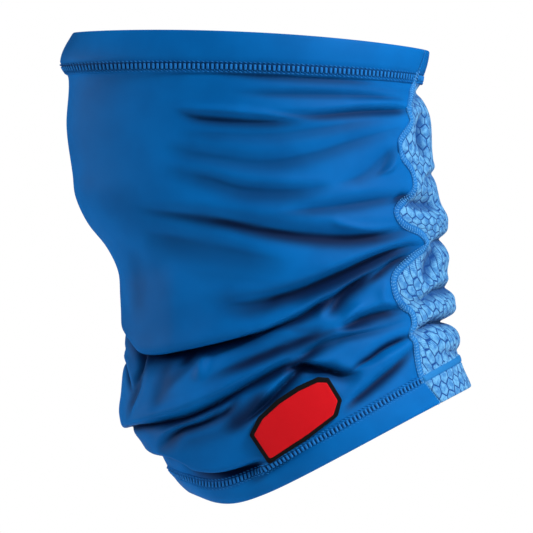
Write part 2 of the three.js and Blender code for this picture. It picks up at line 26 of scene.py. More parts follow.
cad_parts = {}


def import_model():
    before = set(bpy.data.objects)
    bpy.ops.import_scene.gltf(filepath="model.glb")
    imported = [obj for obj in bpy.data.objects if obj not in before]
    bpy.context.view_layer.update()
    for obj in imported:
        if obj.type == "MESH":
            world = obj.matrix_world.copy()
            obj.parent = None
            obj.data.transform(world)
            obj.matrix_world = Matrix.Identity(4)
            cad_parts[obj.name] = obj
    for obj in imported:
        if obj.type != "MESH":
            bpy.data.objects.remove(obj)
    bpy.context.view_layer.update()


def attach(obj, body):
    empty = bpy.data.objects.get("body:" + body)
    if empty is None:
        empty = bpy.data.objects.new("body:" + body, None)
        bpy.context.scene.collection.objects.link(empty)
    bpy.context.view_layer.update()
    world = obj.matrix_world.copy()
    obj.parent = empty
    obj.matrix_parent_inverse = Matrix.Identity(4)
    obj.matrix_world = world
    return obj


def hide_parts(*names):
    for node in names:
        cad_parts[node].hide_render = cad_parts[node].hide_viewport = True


log = logging.getLogger("gaiter")

MM = 0.001

Pair = tuple[float, float]
Path = tuple[Pair, ...]
Place = tuple[float, float, float]
Colour = tuple[int, int, int]
Faces = list[tuple[int, ...]]
Surface = Callable[[np.ndarray, np.ndarray], np.ndarray]

# The side view is measured on a grid of squares
GRID_STEP = 0.587 * MM
GRID_SQUARES = 533
GRID_LEFT = 62.0
GRID_TOP = 31.0
GRID_COLUMNS = 408.0
GRID_ROWS = 470.0

# Sections of the tube. Columns: along share; back and down shares of the front point; back and
# down shares of the nape point; half width; how much slimmer the front is than the back; bow and
# dip, the sag of the section between its two ends.
SECTIONS = np.array(
    [
        [0.0, 0.032, 0.004, 0.897, 0.043, 0.95, 0.15, -0.013, 0.0],
        [0.064, 0.0, 0.066, 0.885, 0.089, 0.98, 0.15, -0.009, 0.0],
        [0.1, 0.017, 0.102, 0.877, 0.121, 0.98, 0.15, -0.005, 0.0],
        [0.2, 0.012, 0.204, 0.902, 0.185, 0.99, 0.15, 0.0, 0.0],
        [0.3, 0.027, 0.306, 0.907, 0.257, 1.0, 0.14, 0.0, 0.0],
        [0.345, 0.034, 0.353, 0.912, 0.289, 1.0, 0.14, 0.0, 0.0],
        [0.4, 0.064, 0.409, 0.919, 0.328, 1.0, 0.13, 0.0, 0.0],
        [0.45, 0.11, 0.46, 0.926, 0.364, 0.99, 0.11, 0.0, 0.0],
        [0.5, 0.138, 0.511, 0.936, 0.4, 0.98, 0.1, 0.0, 0.0],
        [0.55, 0.143, 0.562, 0.939, 0.436, 0.97, 0.09, 0.0, 0.0],
        [0.6, 0.146, 0.613, 0.941, 0.472, 0.96, 0.08, 0.0, 0.0],
        [0.66, 0.15, 0.674, 0.944, 0.515, 0.96, 0.07, 0.0, 0.01],
        [0.7, 0.149, 0.715, 0.949, 0.543, 0.97, 0.06, 0.0, 0.02],
        [0.75, 0.145, 0.766, 0.956, 0.579, 0.99, 0.05, 0.0, 0.034],
        [0.8, 0.141, 0.817, 0.963, 0.615, 1.0, 0.05, 0.0, 0.05],
        [0.835, 0.164, 0.851, 0.968, 0.64, 1.0, 0.05, 0.0, 0.06],
        [0.86, 0.208, 0.879, 0.971, 0.657, 1.0, 0.05, 0.0, 0.068],
        [0.88, 0.238, 0.9, 0.973, 0.672, 1.0, 0.05, 0.0, 0.072],
        [0.907, 0.262, 0.93, 0.974, 0.691, 1.0, 0.05, 0.0, 0.074],
        [0.95, 0.287, 0.955, 0.98, 0.721, 0.99, 0.05, 0.0, 0.07],
        [1.0, 0.314, 0.979, 1.0, 0.757, 0.97, 0.05, 0.0, 0.062],
    ]
)

# The seam on the wearer's left, from the top edge to the bottom: back and down shares
SEAM_PATH: Path = (
    (0.885, 0.043), (0.868, 0.087), (0.858, 0.115), (0.848, 0.168), (0.852, 0.2), (0.824, 0.238),
    (0.828, 0.268), (0.853, 0.298), (0.86, 0.33), (0.85, 0.353), (0.816, 0.381), (0.822, 0.402),
    (0.848, 0.417), (0.875, 0.43), (0.892, 0.457), (0.858, 0.481), (0.812, 0.523), (0.816, 0.564),
    (0.835, 0.585), (0.853, 0.598), (0.858, 0.621), (0.852, 0.643), (0.862, 0.664), (0.868, 0.709),
    (0.877, 0.738), (0.892, 0.757), (0.926, 0.796),
)  # fmt: skip


class FoldShape(Enum):
    """What a fold does to the cloth."""

    CREASE = "pressed in along its path"
    RIDGE = "raised along its path"


@dataclass(frozen=True)
class Fold:
    """One fold, with its sizes in millimetres.

    Attributes:
        path: Its path on the side view's grid.
        depth: How far it goes in, or out if it is a ridge.
        above: Reach of its slope above the path.
        below: Reach of its slope below the path.
        lip: How far the cloth above it stands out.
        droop: How far the cloth above it hangs down.
        peak: Share of the path at which it is deepest.
        start: Share of the depth at the start of the path.
        end: Share of the depth at its end.
        shade: Least painted shade along it, from 0 to 1.
        shape: What it does to the cloth.
    """

    path: Path
    depth: float
    above: float
    below: float
    lip: float = 0.0
    droop: float = 0.0
    peak: float = 0.5
    start: float = 0.0
    end: float = 0.0
    shade: float = 0.0
    shape: FoldShape = FoldShape.CREASE


RIDGE = FoldShape.RIDGE

# Where folds cross, 1 would add them, and more lets the deeper one win
SHARING = 2.6

# Soft folds of the cheek, from the top hem down to the jaw
CHEEK_FOLDS = (
    Fold(((200, 73), (250, 77), (300, 80), (345, 82.5), (380, 85)), 1.6, 1.2, 3.6, peak=0.6, shade=0.7),
    Fold(((250, 83), (332, 88), (417, 93)), 1.2, 2.0, 4.0, peak=0.6),
    Fold(((232, 95.5), (280, 96.5), (330, 97), (370, 97.5), (410, 101)), 2.6, 2.2, 3.0, 0.7, peak=0.5,
         shade=0.6),
    Fold(((262, 112), (289, 116), (319, 117), (360, 113), (409, 110)), 4.4, 2.0, 4.5, 0.8, peak=0.8,
         shade=0.85),
    Fold(((176, 112), (195, 118), (225, 121), (255, 123), (290, 124), (311, 122)), 3.6, 2.2, 5.0, 2.2,
         peak=0.4, shade=0.85),
    Fold(((180, 134), (260, 137), (311, 132), (362, 124), (408, 118)), 2.0, 4.0, 6.0, 0.6, peak=0.25,
         shade=0.4),
    Fold(((164, 146), (201, 156), (262, 164), (311, 156), (352, 143), (409, 126)), 2.8, 4.4, 7.0, 0.8,
         peak=0.25, shade=0.5),
    Fold(((166, 170), (190, 175), (211, 180), (245, 190), (292, 192), (330, 186)), 3.0, 3.4, 8.0, 1.1,
         peak=0.5, shade=0.6),
    Fold(((270, 215), (301, 211), (340, 207), (374, 201), (404, 196)), 3.4, 3.2, 5.0, 0.9, peak=0.6),
    Fold(((335, 186), (361, 177), (381, 160), (395, 146)), 2.2, 4.0, 4.5, peak=0.6),
    Fold(((396, 140), (395, 150), (393, 161), (388, 170), (376, 176)), 3.2, 2.0, 2.0, shape=RIDGE),
    Fold(((372, 179), (381, 170), (386, 160), (389, 149)), 3.0, 2.0, 2.6, peak=0.6, shade=0.5),
    Fold(((392, 208), (394.5, 201), (401, 196), (409, 194.5)), 4.0, 1.6, 3.4, peak=0.6, shade=0.95),
    Fold(((330, 211), (333, 221), (346, 227), (370, 229), (396, 226)), 3.2, 2.4, 2.4, shape=RIDGE),
)

# The jaw, the chin and the sweep up to the nape
JAW_FOLDS = (
    Fold(((136, 207), (155, 212), (189, 217), (222, 222), (240, 225.5), (269, 231.5), (305, 236),
         (340, 237), (369, 234.5), (398, 231), (416, 226)), 5.2, 5.0, 6.0, 1.6, peak=0.62),
    Fold(((144, 233), (184, 242), (233, 252), (290, 263)), 2.6, 8.0, 12.0, peak=0.45),
    Fold(((176, 268), (224, 276), (285, 281), (330, 268)), 1.5, 5.0, 6.0, peak=0.5),
    Fold(((174, 262), (174, 285), (173, 305), (174, 328)), 0.9, 8.0, 10.0, shape=RIDGE),
    Fold(((134, 246), (138, 272), (139, 296), (138, 318)), 1.6, 8.0, 8.0, peak=0.5),
    Fold(((206, 289), (229, 295.5), (240, 297), (268, 296), (297, 289), (326, 277.5), (355, 266),
         (383, 254.5), (405, 247.5), (426, 246)), 8.0, 3.6, 7.0, 2.6, 2.0, peak=0.6),
)

# The overhang under the chin and the wedges behind it
CHIN_FOLDS = (
    Fold(((123.2, 332), (128, 338), (134, 345), (142, 348), (160, 346), (176, 342), (212, 335), (242, 330),
         (267, 325.5), (294, 317)), 16.0, 4.6, 10.5, 3.0, 13.0, peak=0.5, start=0.3),
    Fold(((240, 331), (262, 326), (294, 317), (320, 302), (337, 292), (355, 281), (375, 271), (392, 263)),
         8.0, 2.6, 5.0, 2.0, 2.0, peak=0.45, shade=1.0),
    Fold(((326, 316), (331, 308), (340, 296), (350, 287), (362, 280), (378, 269)), 9.0, 2.4, 6.0, 2.2, 1.5,
         peak=0.35),
    Fold(((364, 285), (376, 276), (390, 265), (402, 258), (414, 254)), 5.5, 2.0, 3.4, 1.2, peak=0.5),
    Fold(((284, 327), (296, 326.5), (312, 326), (324, 323)), 3.0, 1.8, 2.5, 0.8),
    Fold(((202, 378), (215, 370), (229, 363.5), (249, 355), (265, 348.5), (285, 340), (312, 331),
         (337, 325), (343, 323)), 5.0, 3.4, 5.5, 1.6, peak=0.6, shade=0.85),
    Fold(((334, 327), (343, 323.5), (362, 316), (378, 311), (391, 309), (406, 306)), 7.0, 2.6, 5.5, 1.6,
         1.0, peak=0.4),
    Fold(((328, 297), (321, 305), (320, 312), (326, 317)), 2.6, 2.0, 2.0, shape=RIDGE),
    Fold(((362, 300), (350, 309), (346, 317), (352, 322)), 2.4, 2.2, 2.2, shape=RIDGE),
    Fold(((387, 280), (382, 290), (382, 298), (388, 305)), 2.6, 2.4, 2.4, shape=RIDGE),
    Fold(((345, 330), (370, 323), (395, 317), (408, 313)), 2.0, 3.0, 4.0, 0.5),
    Fold(((131, 340), (133, 350), (136, 359), (137, 368), (135, 378), (133, 390)), 10.0, 2.2, 3.4, 2.0,
         peak=0.35),
    Fold(((124, 346), (122.8, 357), (125, 371), (130, 388), (133, 396)), 5.0, 2.0, 2.4, 1.2, peak=0.4),
    Fold(((146, 356), (141, 372), (137, 388), (132, 402), (128, 416)), 4.0, 2.6, 5.0, 1.2),
    Fold(((188, 344), (185, 354), (178, 366)), 8.0, 4.5, 6.0, peak=0.4),
    Fold(((197, 354), (186, 366), (172, 380), (162, 394)), 2.2, 6.0, 6.5, peak=0.35, shade=0.62),
    Fold(((160, 350), (163, 372), (158, 392), (150, 408)), 3.0, 6.0, 6.0),
    Fold(((204, 350), (200, 362), (199, 378)), 4.0, 3.2, 3.2, shape=RIDGE),
)

# The gathers between the chin and the bottom hem
NECK_FOLDS = (
    Fold(((120, 432), (140, 425), (164, 417), (186, 410), (222, 394), (242, 383), (268, 368.5),
         (287, 357.5), (311, 344), (332, 337), (369, 330), (398, 322), (411, 315)), 9.0, 2.8, 5.0, 2.4, 2.5,
         peak=0.35, start=0.5),
    Fold(((158, 442), (168, 434), (180, 426), (198, 420), (212, 413.5), (224, 408), (232, 399), (244, 387)),
         8.0, 2.4, 6.0, 2.2, 2.0, peak=0.5),
    Fold(((176, 443), (192, 438), (205, 434), (225, 428), (243, 418)), 2.4, 4.0, 5.0, 0.6),
    Fold(((240, 424), (248, 418), (258, 408), (268, 397), (281, 383), (294, 370), (300, 362)), 9.0, 2.6,
         5.5, 2.4, 2.5, peak=0.6, end=0.85),
    Fold(((218, 431), (234, 423), (248, 411), (260, 397), (272, 382)), 3.0, 8.0, 5.5, peak=0.55,
         shade=0.95),
    Fold(((296, 361), (304, 359.5), (323, 363), (337, 367), (350, 371), (360, 371)), 12.0, 2.4, 8.0, 3.0,
         4.0, peak=0.35, start=0.8),
    Fold(((411, 335), (398, 341), (384, 348), (369, 358), (355, 364.5), (345, 370)), 5.5, 2.0, 3.2, 1.4,
         peak=0.35),
    Fold(((336, 413), (351, 399), (365, 388), (379, 376.5), (393, 365), (406, 352), (412, 343)), 5.0, 2.8,
         4.5, 1.2, peak=0.5),
    Fold(((243, 484), (257, 476.5), (274, 464.5), (295, 450.5), (309, 439.5), (320, 431)), 2.4, 1.6, 2.4,
         0.6, peak=0.5),
    Fold(((146, 446), (158, 450), (172, 452.5), (181, 457), (192, 465), (212, 469.5), (232, 467.5),
         (249, 462), (266, 457)), 10.0, 2.6, 6.5, 2.4, 5.0, peak=0.55, start=0.35),
)

# Small dark gaps at the front of the bottom hem, pressed in and darkened further with painted shade
HEM_FOLDS = (
    Fold(((176, 454), (185, 459), (197, 466)), 9.0, 2.0, 6.0, 1.0, 1.0, shade=1.0),
    Fold(((208, 470.5), (228, 467.5), (245, 463.5), (264, 458)), 9.0, 2.0, 6.5, 1.0, 1.0, peak=0.7,
         shade=1.0),
)

# The nape, where the textured panel bunches up
NAPE_FOLDS = (
    Fold(((408, 108), (413, 104), (417, 97), (420, 92), (430, 91)), 3.6, 2.4, 3.6, 1.0, peak=0.7, end=1.0),
    Fold(((424, 112), (423, 122), (422, 132), (423, 146), (427, 160)), 6.5, 4.4, 4.4, 1.2, shade=1.0),
    Fold(((416, 187), (424, 181), (432, 174.5), (445, 173)), 3.0, 2.0, 4.0, 0.8, peak=0.8, end=1.0),
    Fold(((402, 200), (411, 202), (423, 203), (437, 205)), 6.0, 4.0, 4.2, 1.2, shade=1.0),
    Fold(((424, 250), (431, 245), (438, 240.5), (450, 238)), 4.6, 2.4, 4.0, 1.2, peak=0.7, end=1.0),
    Fold(((438, 248), (431, 259), (427, 272), (424, 284)), 5.0, 5.0, 5.0, 1.0, shade=0.8),
    Fold(((407, 304), (414, 301), (422, 298), (430, 294), (438, 289.5), (455, 286)), 6.0, 2.4, 3.6, 1.2,
         peak=0.8, end=0.6),
    Fold(((405, 336), (411, 333), (421, 327.5), (430, 323), (438, 319.5), (460, 318)), 10.5, 2.6, 3.4, 1.2,
         1.5, peak=0.85, end=0.9),
    Fold(((428, 356), (440, 352), (456, 350), (470, 350)), 2.2, 2.0, 3.0, peak=0.8, end=1.0),
    Fold(((424, 305), (440, 302), (456, 299), (466, 299)), 2.6, 6.5, 6.0, shape=RIDGE, peak=0.8, end=1.0),
    Fold(((420, 345), (440, 340), (458, 336), (470, 336)), 1.4, 7.0, 7.0, shape=RIDGE, peak=0.8, end=1.0),
    Fold(((424, 262), (436, 258), (452, 256)), 2.0, 6.0, 6.0, shape=RIDGE, peak=0.8, end=1.0),
    Fold(((416, 222), (430, 220), (450, 219)), 2.4, 7.0, 7.0, shape=RIDGE, peak=0.8, end=1.0),
)

FOLD_GROUPS = (CHEEK_FOLDS, JAW_FOLDS, CHIN_FOLDS, NECK_FOLDS, HEM_FOLDS, NAPE_FOLDS)


class Edge(Enum):
    """An open edge of the tube."""

    TOP = "top"
    BOTTOM = "bottom"


class Side(Enum):
    """The panel that a piece belongs to."""

    FRONT = "front"
    BACK = "back"


def share(value: np.ndarray) -> np.ndarray:
    """Hold values between 0 and 1."""
    return np.clip(value, 0.0, 1.0)


def smooth_share(value: np.ndarray) -> np.ndarray:
    """An S curve from 0 to 1."""
    held = share(value)
    return held * held * (3.0 - 2.0 * held)


def length_of(vectors: np.ndarray) -> np.ndarray:
    """Lengths of the vectors in the last axis."""
    return np.sqrt(np.sum(vectors * vectors, axis=-1))


def unit(vectors: np.ndarray) -> np.ndarray:
    """The same vectors with a length of one."""
    return vectors / np.maximum(length_of(vectors), 1e-12)[..., None]


def rounded_path(path: Sequence[Pair], steps: int) -> np.ndarray:
    """Draw a smooth line through measured points.

    Args:
        path: The points, in order.
        steps: How many short legs replace each stretch between two points.

    Returns:
        The points of the smooth line, with the first and the last point of the path at its ends.
    """
    points = np.array(path, dtype=float)
    padded = np.vstack([2 * points[0] - points[1], points, 2 * points[-1] - points[-2]])
    t = (np.arange(steps) / steps)[:, None]
    legs = []
    for i in range(len(points) - 1):
        before, a, b, after = padded[i : i + 4]
        leg = a + 0.5 * t * (
            (b - before) + t * ((2 * before - 5 * a + 4 * b - after) + t * (3 * (a - b) + after - before))
        )
        legs.append(leg)
    return np.vstack([*legs, points[-1:]])


@dataclass
class LaidFold:
    """A fold laid on the smooth tube as short legs.

    Attributes:
        fold: The fold.
        points: Points of its path on the tube.
        downs: The way down the cloth at each point.
        ease: Share of the fold's depth that is used.
        side: 1 on the wearer's left and -1 on the right.
        overlap: Width in which the folds of both sides share the middle.
        end_fade: How far past its ends it can be felt.
        rounding: How round the crease is, as a share of its slopes.
        lip_reach: Reach of the lip, as a share of the slope above.
        lip_place: Where the lip is, in reaches below the crease.
        hangs: Reach of the droop above and below the lip, in reaches.
        least_width: Share of its width that a fold keeps where it fades out.
        felt: Reach of the whole fold, in slopes, and the least reach in millimetres.
        full_painted_shade: Depth in millimetres from which the crease's painted shade is full.
        painted_shade_growth: How fast the painted shade grows with the depth.
        painted_shade_rise: How soon along the path the painted shade is full.
        painted_shade_below: Reach of the painted shade below the crease, in slopes.
        painted_shade_above: The same above it, where the cloth hangs over and where it doesn't.
        painted_shade_edge: How sharply the painted shade ends, and how much sharper if the crease is dark.
    """

    fold: Fold
    points: np.ndarray
    downs: np.ndarray
    ease: float
    side: int
    overlap: float = 12 * MM
    end_fade: float = 7 * MM
    rounding: float = 0.3
    lip_reach: float = 1.3
    lip_place: float = -1.5
    hangs: Pair = (2.5, 1.3)
    least_width: float = 0.5
    felt: Pair = (4.0, 6.0)
    full_painted_shade: float = 5.0
    painted_shade_growth: float = 1.2
    painted_shade_rise: float = 1.4
    painted_shade_below: float = 1.05
    painted_shade_above: Pair = (0.35, 0.9)
    painted_shade_edge: Pair = (2.0, 1.6)

    def __post_init__(self) -> None:
        """Work out the legs and how far the fold can be felt."""
        self.runs = np.diff(self.points, axis=0)
        self.squares = np.sum(self.runs**2, axis=1)
        lengths = np.sqrt(self.squares)
        self.shares = np.concatenate([[0.0], np.cumsum(lengths)]) / np.sum(lengths)
        reach, least = self.felt
        widest = max(reach * self.fold.above, reach * self.fold.below, least) * MM
        self.low = self.points.min(axis=0) - widest
        self.high = self.points.max(axis=0) + widest

    def near(self, points: np.ndarray) -> np.ndarray:
        """Indices of the points that the fold can move."""
        return np.flatnonzero(np.all((points > self.low) & (points < self.high), axis=1))

    def measure(self, points: np.ndarray) -> tuple[np.ndarray, np.ndarray, np.ndarray]:
        """Find the nearest place on the path.

        Args:
            points: Points near the fold.

        Returns:
            How far each lies below the path, its share of the path, and how far past an end it is.
        """
        count = len(points)
        best = np.full(count, np.inf)
        offset = np.zeros(count)
        place = np.zeros(count)
        for i, run in enumerate(self.runs):
            away = points - self.points[i]
            stop = share(away @ run / self.squares[i])
            away -= stop[:, None] * run
            distance = np.einsum("ij,ij->i", away, away)
            closer = distance < best
            below = (away @ self.downs[i]) * (1.0 - stop) + (away @ self.downs[i + 1]) * stop
            best = np.where(closer, distance, best)
            offset = np.where(closer, below, offset)
            place = np.where(closer, self.shares[i] + stop * (self.shares[i + 1] - self.shares[i]), place)
        past = np.sqrt(np.maximum(best - offset**2, 0.0))
        return offset, place, past

    def strength(self, place: np.ndarray, past: np.ndarray) -> np.ndarray:
        """Depth along the path, from its ends to its peak, fading past an end."""
        fold = self.fold
        first = place < fold.peak
        rise = np.where(first, place / fold.peak, (1.0 - place) / (1.0 - fold.peak))
        held = np.where(first, fold.start, fold.end)
        body = share(rise * (2.0 - rise))
        return self.ease * (held + (1.0 - held) * body) * np.exp(-((past / self.end_fade) ** 2))

    def own_side(self, points: np.ndarray) -> np.ndarray:
        """1 on the fold's own side of the middle and 0 on the other, with the sum held at 1."""
        return smooth_share(0.5 + self.side * points[:, 0] / self.overlap)

    def moves(self, points: np.ndarray) -> tuple[np.ndarray, ...]:
        """How the fold moves points, in metres, and how much painted shade it puts on them.

        Args:
            points: Points near the fold.

        Returns:
            How far in, how far the lip above stands out, how far down, how much painted shade the
            cloth gets from 0 to 1, and how far a ridge rises.
        """
        fold = self.fold
        offset, place, past = self.measure(points)
        own = self.own_side(points)
        strength = self.strength(place, past)
        narrow = self.least_width + (1 - self.least_width) * strength
        strength = strength * (own if fold.shape is FoldShape.RIDGE else own ** (1 / SHARING))
        above = fold.above * MM * narrow
        below = fold.below * MM * narrow
        slope = np.where(offset > 0, below, above)
        if fold.shape is FoldShape.RIDGE:
            rise = fold.depth * MM * strength * np.exp(-((offset / slope) ** 2))
            nothing = np.zeros_like(rise)
            return nothing, nothing, nothing, nothing, rise
        soft = self.rounding * np.minimum(above, below)
        pressed = fold.depth * MM * strength * np.exp((soft - np.hypot(offset, soft)) / slope)
        reach = self.lip_reach * above
        centre = self.lip_place * reach
        lip = fold.lip * MM * strength * np.exp(-(((offset - centre) / reach) ** 2))
        hang = np.where(offset < centre, *self.hangs) * reach
        droop = fold.droop * MM * strength * np.exp(-(((offset - centre) / hang) ** 2))
        # Painted shade: a dark band along the crease, darker the deeper the fold, at least as dark as the
        # fold's shade
        deep = max(fold.shade, min(1.0, fold.depth / self.full_painted_shade) ** self.painted_shade_growth)
        painted_shade_above = self.painted_shade_above[0 if fold.below > fold.above else 1]
        fall = np.where(offset > 0, offset / (self.painted_shade_below * below), -offset / (painted_shade_above * above))
        sharpness = self.painted_shade_edge[0] + self.painted_shade_edge[1] * deep
        painted_shade = deep * share(self.painted_shade_rise * strength) * np.exp(-(fall**sharpness))
        return pressed, lip, droop, painted_shade, np.zeros_like(pressed)


@dataclass
class TubeForm:
    """The worn tube: its smooth surface, its folds, its seams and its hems.

    The right side has the left side's folds, each a little shallower and moved up or down in turn.
    """

    depth: float = 0.240
    height: float = 0.276
    width: float = 0.140
    seat_back: float = 0.51
    seat_down: float = 0.551
    cloth_share: float = 0.84
    top_hem: float = 15 * MM
    bottom_hem: float = 16.5 * MM
    stitch_band: float = 6.4 * MM
    seam_gap: float = 0.5 * MM
    seam_easing: float = 0.006
    patch_back: float = 0.574
    patch_down: float = 0.822
    patch_tilt: float = math.radians(34.5)
    patch_length: float = 56 * MM
    patch_height: float = 28 * MM
    calm_edge: float = 0.98
    calm_fade: float = 0.3
    # Fade of the painted shade at the patch's edge
    calm_painted_shade_fade: float = 0.12
    right_wave: float = 2.3
    right_shift: float = 0.016
    right_drift: float = 0.022
    right_ease: float = 0.3
    nape_shift: float = 0.045
    nape_ease: float = 1.6
    sag_reach: float = 0.08
    sag_fall: float = 1.3
    sag_peak: float = 0.53
    front_tuck: float = 0.7
    tuck_reach: float = 0.105
    tuck_fall: float = 1.4
    path_steps: int = 5
    least_leg: float = 0.05 * MM
    chart_rounds: int = 30
    row_trials: int = 420
    row_columns: int = 90

    def __post_init__(self) -> None:
        """Lay the seam and every fold on the smooth tube."""
        self.cloth_length = self.height * self.cloth_share
        self.seam_radius = (self.depth + self.width) / 5
        padded = np.vstack([SECTIONS[:1], SECTIONS, SECTIONS[-1:]])
        rises = padded[2:] - padded[:-2]
        self.slopes = rises / rises[:, :1]
        turns, alongs = self.chart(*rounded_path(SEAM_PATH, 6).T)
        order = np.argsort(alongs)
        self.seam_alongs, self.seam_turns = alongs[order], turns[order]
        self.laid: list[LaidFold] = []
        folds = [(fold, group is NAPE_FOLDS) for group in FOLD_GROUPS for fold in group]
        for index, (fold, at_nape) in enumerate(folds):
            self.laid.append(self.lay(fold, 1, 0.0, 1.0))
            ease = (1 + math.cos(self.right_wave * index)) / 2
            shift = self.right_shift * ease
            if fold.start or fold.end:
                ease, shift = 0.0, self.right_drift
            elif at_nape:
                ease, shift = self.nape_ease, self.nape_shift
            way = 1 if index % 2 else -1
            self.laid.append(self.lay(fold, -1, way * shift, 1 - self.right_ease * ease))

    def hem(self, edge: Edge) -> float:
        """Width of the folded hem at an edge."""
        return self.bottom_hem if edge is Edge.BOTTOM else self.top_hem

    def from_edge(self, edge: Edge, length: float) -> float:
        """Along share at a length from an edge."""
        along = length / self.cloth_length
        return 1 - along if edge is Edge.BOTTOM else along

    def across(self, side: Side, ways: np.ndarray, seam: np.ndarray, gap: float = 0.0) -> np.ndarray:
        """Turns at places across a panel, from -1 at one seam to 1 at the other.

        Args:
            side: The panel.
            ways: The places.
            seam: Turn of the left seam there.
            gap: How far the cloth stops short of the seam.

        Returns:
            The turns.
        """
        short = gap / self.seam_radius
        if side is Side.BACK:
            return math.pi + ways * (math.pi - seam - short)
        return ways * (seam - short)

    def place_y(self, back: np.ndarray) -> np.ndarray:
        """Y of a back share."""
        return self.depth * (back - self.seat_back)

    def place_z(self, down: np.ndarray) -> np.ndarray:
        """Z of a down share."""
        return self.height * (self.seat_down - down)

    def section(self, along: np.ndarray) -> np.ndarray:
        """The section at along shares, with its columns in the last axis."""
        stations = SECTIONS[:, 0]
        row = np.clip(np.searchsorted(stations[1:], along, side="left"), 0, len(stations) - 2)
        step = (stations[row + 1] - stations[row])[..., None]
        s = share((along - stations[row])[..., None] / step)
        low, high = SECTIONS[row], SECTIONS[row + 1]
        return (
            (1 + 2 * s) * (1 - s) ** 2 * low
            + s * s * (3 - 2 * s) * high
            + s * (1 - s) ** 2 * step * self.slopes[row]
            + s * s * (s - 1) * step * self.slopes[row + 1]
        )

    def smooth(self, turn: np.ndarray, along: np.ndarray) -> np.ndarray:
        """Points of the tube before any fold."""
        turn, along = np.broadcast_arrays(np.asarray(turn, float), np.asarray(along, float))
        columns = np.moveaxis(self.section(along), -1, 0)
        _, front_back, front_down, nape_back, nape_down, half, slimmer, bow, dip = columns
        across = (1 - np.cos(turn)) / 2
        front_sag = (across / (across + self.sag_reach)) * (1 - across) ** self.sag_fall / self.sag_peak
        front_sag *= 1 - self.front_tuck * np.exp(-((across / self.tuck_reach) ** self.tuck_fall))
        sag = self.height * (bow * 4 * across * (1 - across) + dip * front_sag)
        x = self.width / 2 * half * np.sin(turn) * (1 - slimmer * np.cos(turn))
        y = self.place_y(front_back + (nape_back - front_back) * across)
        z = self.place_z(front_down + (nape_down - front_down) * across) - sag
        return np.stack([x, y, z], axis=-1)

    def normal(
        self, surface: Surface, turn: np.ndarray, along: np.ndarray, steps: Pair = (math.radians(2), 0.006)
    ) -> np.ndarray:
        """Outward normals of a surface, from a small step of turn and one of along share."""
        around = surface(turn + steps[0], along) - surface(turn - steps[0], along)
        above, below = np.maximum(0.0, along - steps[1]), np.minimum(1.0, along + steps[1])
        return unit(np.cross(surface(turn, below) - surface(turn, above), around))

    def chart(self, back: np.ndarray, down: np.ndarray) -> tuple[np.ndarray, np.ndarray]:
        """Turns and along shares of places seen from the wearer's left."""
        y, z = self.place_y(np.asarray(back, float)), self.place_z(np.asarray(down, float))
        top, bottom, turn = np.zeros_like(y), np.ones_like(y), np.zeros_like(y)
        for _ in range(self.chart_rounds):
            along = (top + bottom) / 2
            s = self.section(along)
            front, nape = self.place_y(s[..., 1]), self.place_y(s[..., 3])
            turn = np.arccos(1 - 2 * share((y - front) / (nape - front)))
            higher = self.smooth(turn, along)[..., 2] > z
            top, bottom = np.where(higher, along, top), np.where(higher, bottom, along)
        return turn, (top + bottom) / 2

    def lay(self, fold: Fold, side: int, shift: float, ease: float) -> LaidFold:
        """Lay a fold on the tube.

        Args:
            fold: The fold.
            side: 1 for the wearer's left and -1 for the right.
            shift: How far down it is moved, as a share of the height. A fold that meets its mirror
                image in the middle moves only at its other end.
            ease: Share of its depth that is used.

        Returns:
            The laid fold.
        """
        line = rounded_path(fold.path, self.path_steps)
        back = (line[:, 0] - GRID_LEFT) / GRID_COLUMNS
        drift = np.full(len(line), shift)
        if fold.start or fold.end:
            drift = shift * smooth_share(np.linspace(0, 1, len(line)))
        if fold.end:
            drift = drift[::-1]
        down = (line[:, 1] - GRID_TOP) / GRID_ROWS + drift
        turn, along = self.chart(back, down)
        points = self.smooth(side * turn, along)
        keep = np.concatenate([[True], length_of(np.diff(points, axis=0)) > self.least_leg])
        points, turn, along = points[keep], turn[keep], along[keep]
        runs = np.gradient(points, axis=0)
        downs = unit(np.cross(runs, self.normal(self.smooth, side * turn, along)) * side)
        return LaidFold(fold, points, downs, ease, side)

    def seam_turn(self, along: np.ndarray) -> np.ndarray:
        """Turn of the left seam at along shares, a little rounded."""
        steps = np.linspace(-self.seam_easing, self.seam_easing, 7)
        spread = [np.interp(along + step, self.seam_alongs, self.seam_turns) for step in steps]
        return np.mean(spread, axis=0)

    def calm(self, points: np.ndarray, fade: float) -> np.ndarray:
        """0 on the patch, where the cloth lies calm, and 1 away from it, with a fade between."""
        back = points[:, 1] - self.place_y(self.patch_back)
        up = points[:, 2] - self.place_z(self.patch_down)
        cos, sin = math.cos(self.patch_tilt), math.sin(self.patch_tilt)
        along = (back * cos + up * sin) / (self.patch_length / 2)
        across = (up * cos - back * sin) / (self.patch_height / 2)
        reach = (along**4 + across**4) ** 0.25
        return np.where(points[:, 0] < 0, 1.0, smooth_share((reach - self.calm_edge) / fade))

    def folded(self, turn: np.ndarray, along: np.ndarray) -> np.ndarray:
        """Points of the folded tube."""
        return self.folded_and_painted_shade(turn, along)[0]

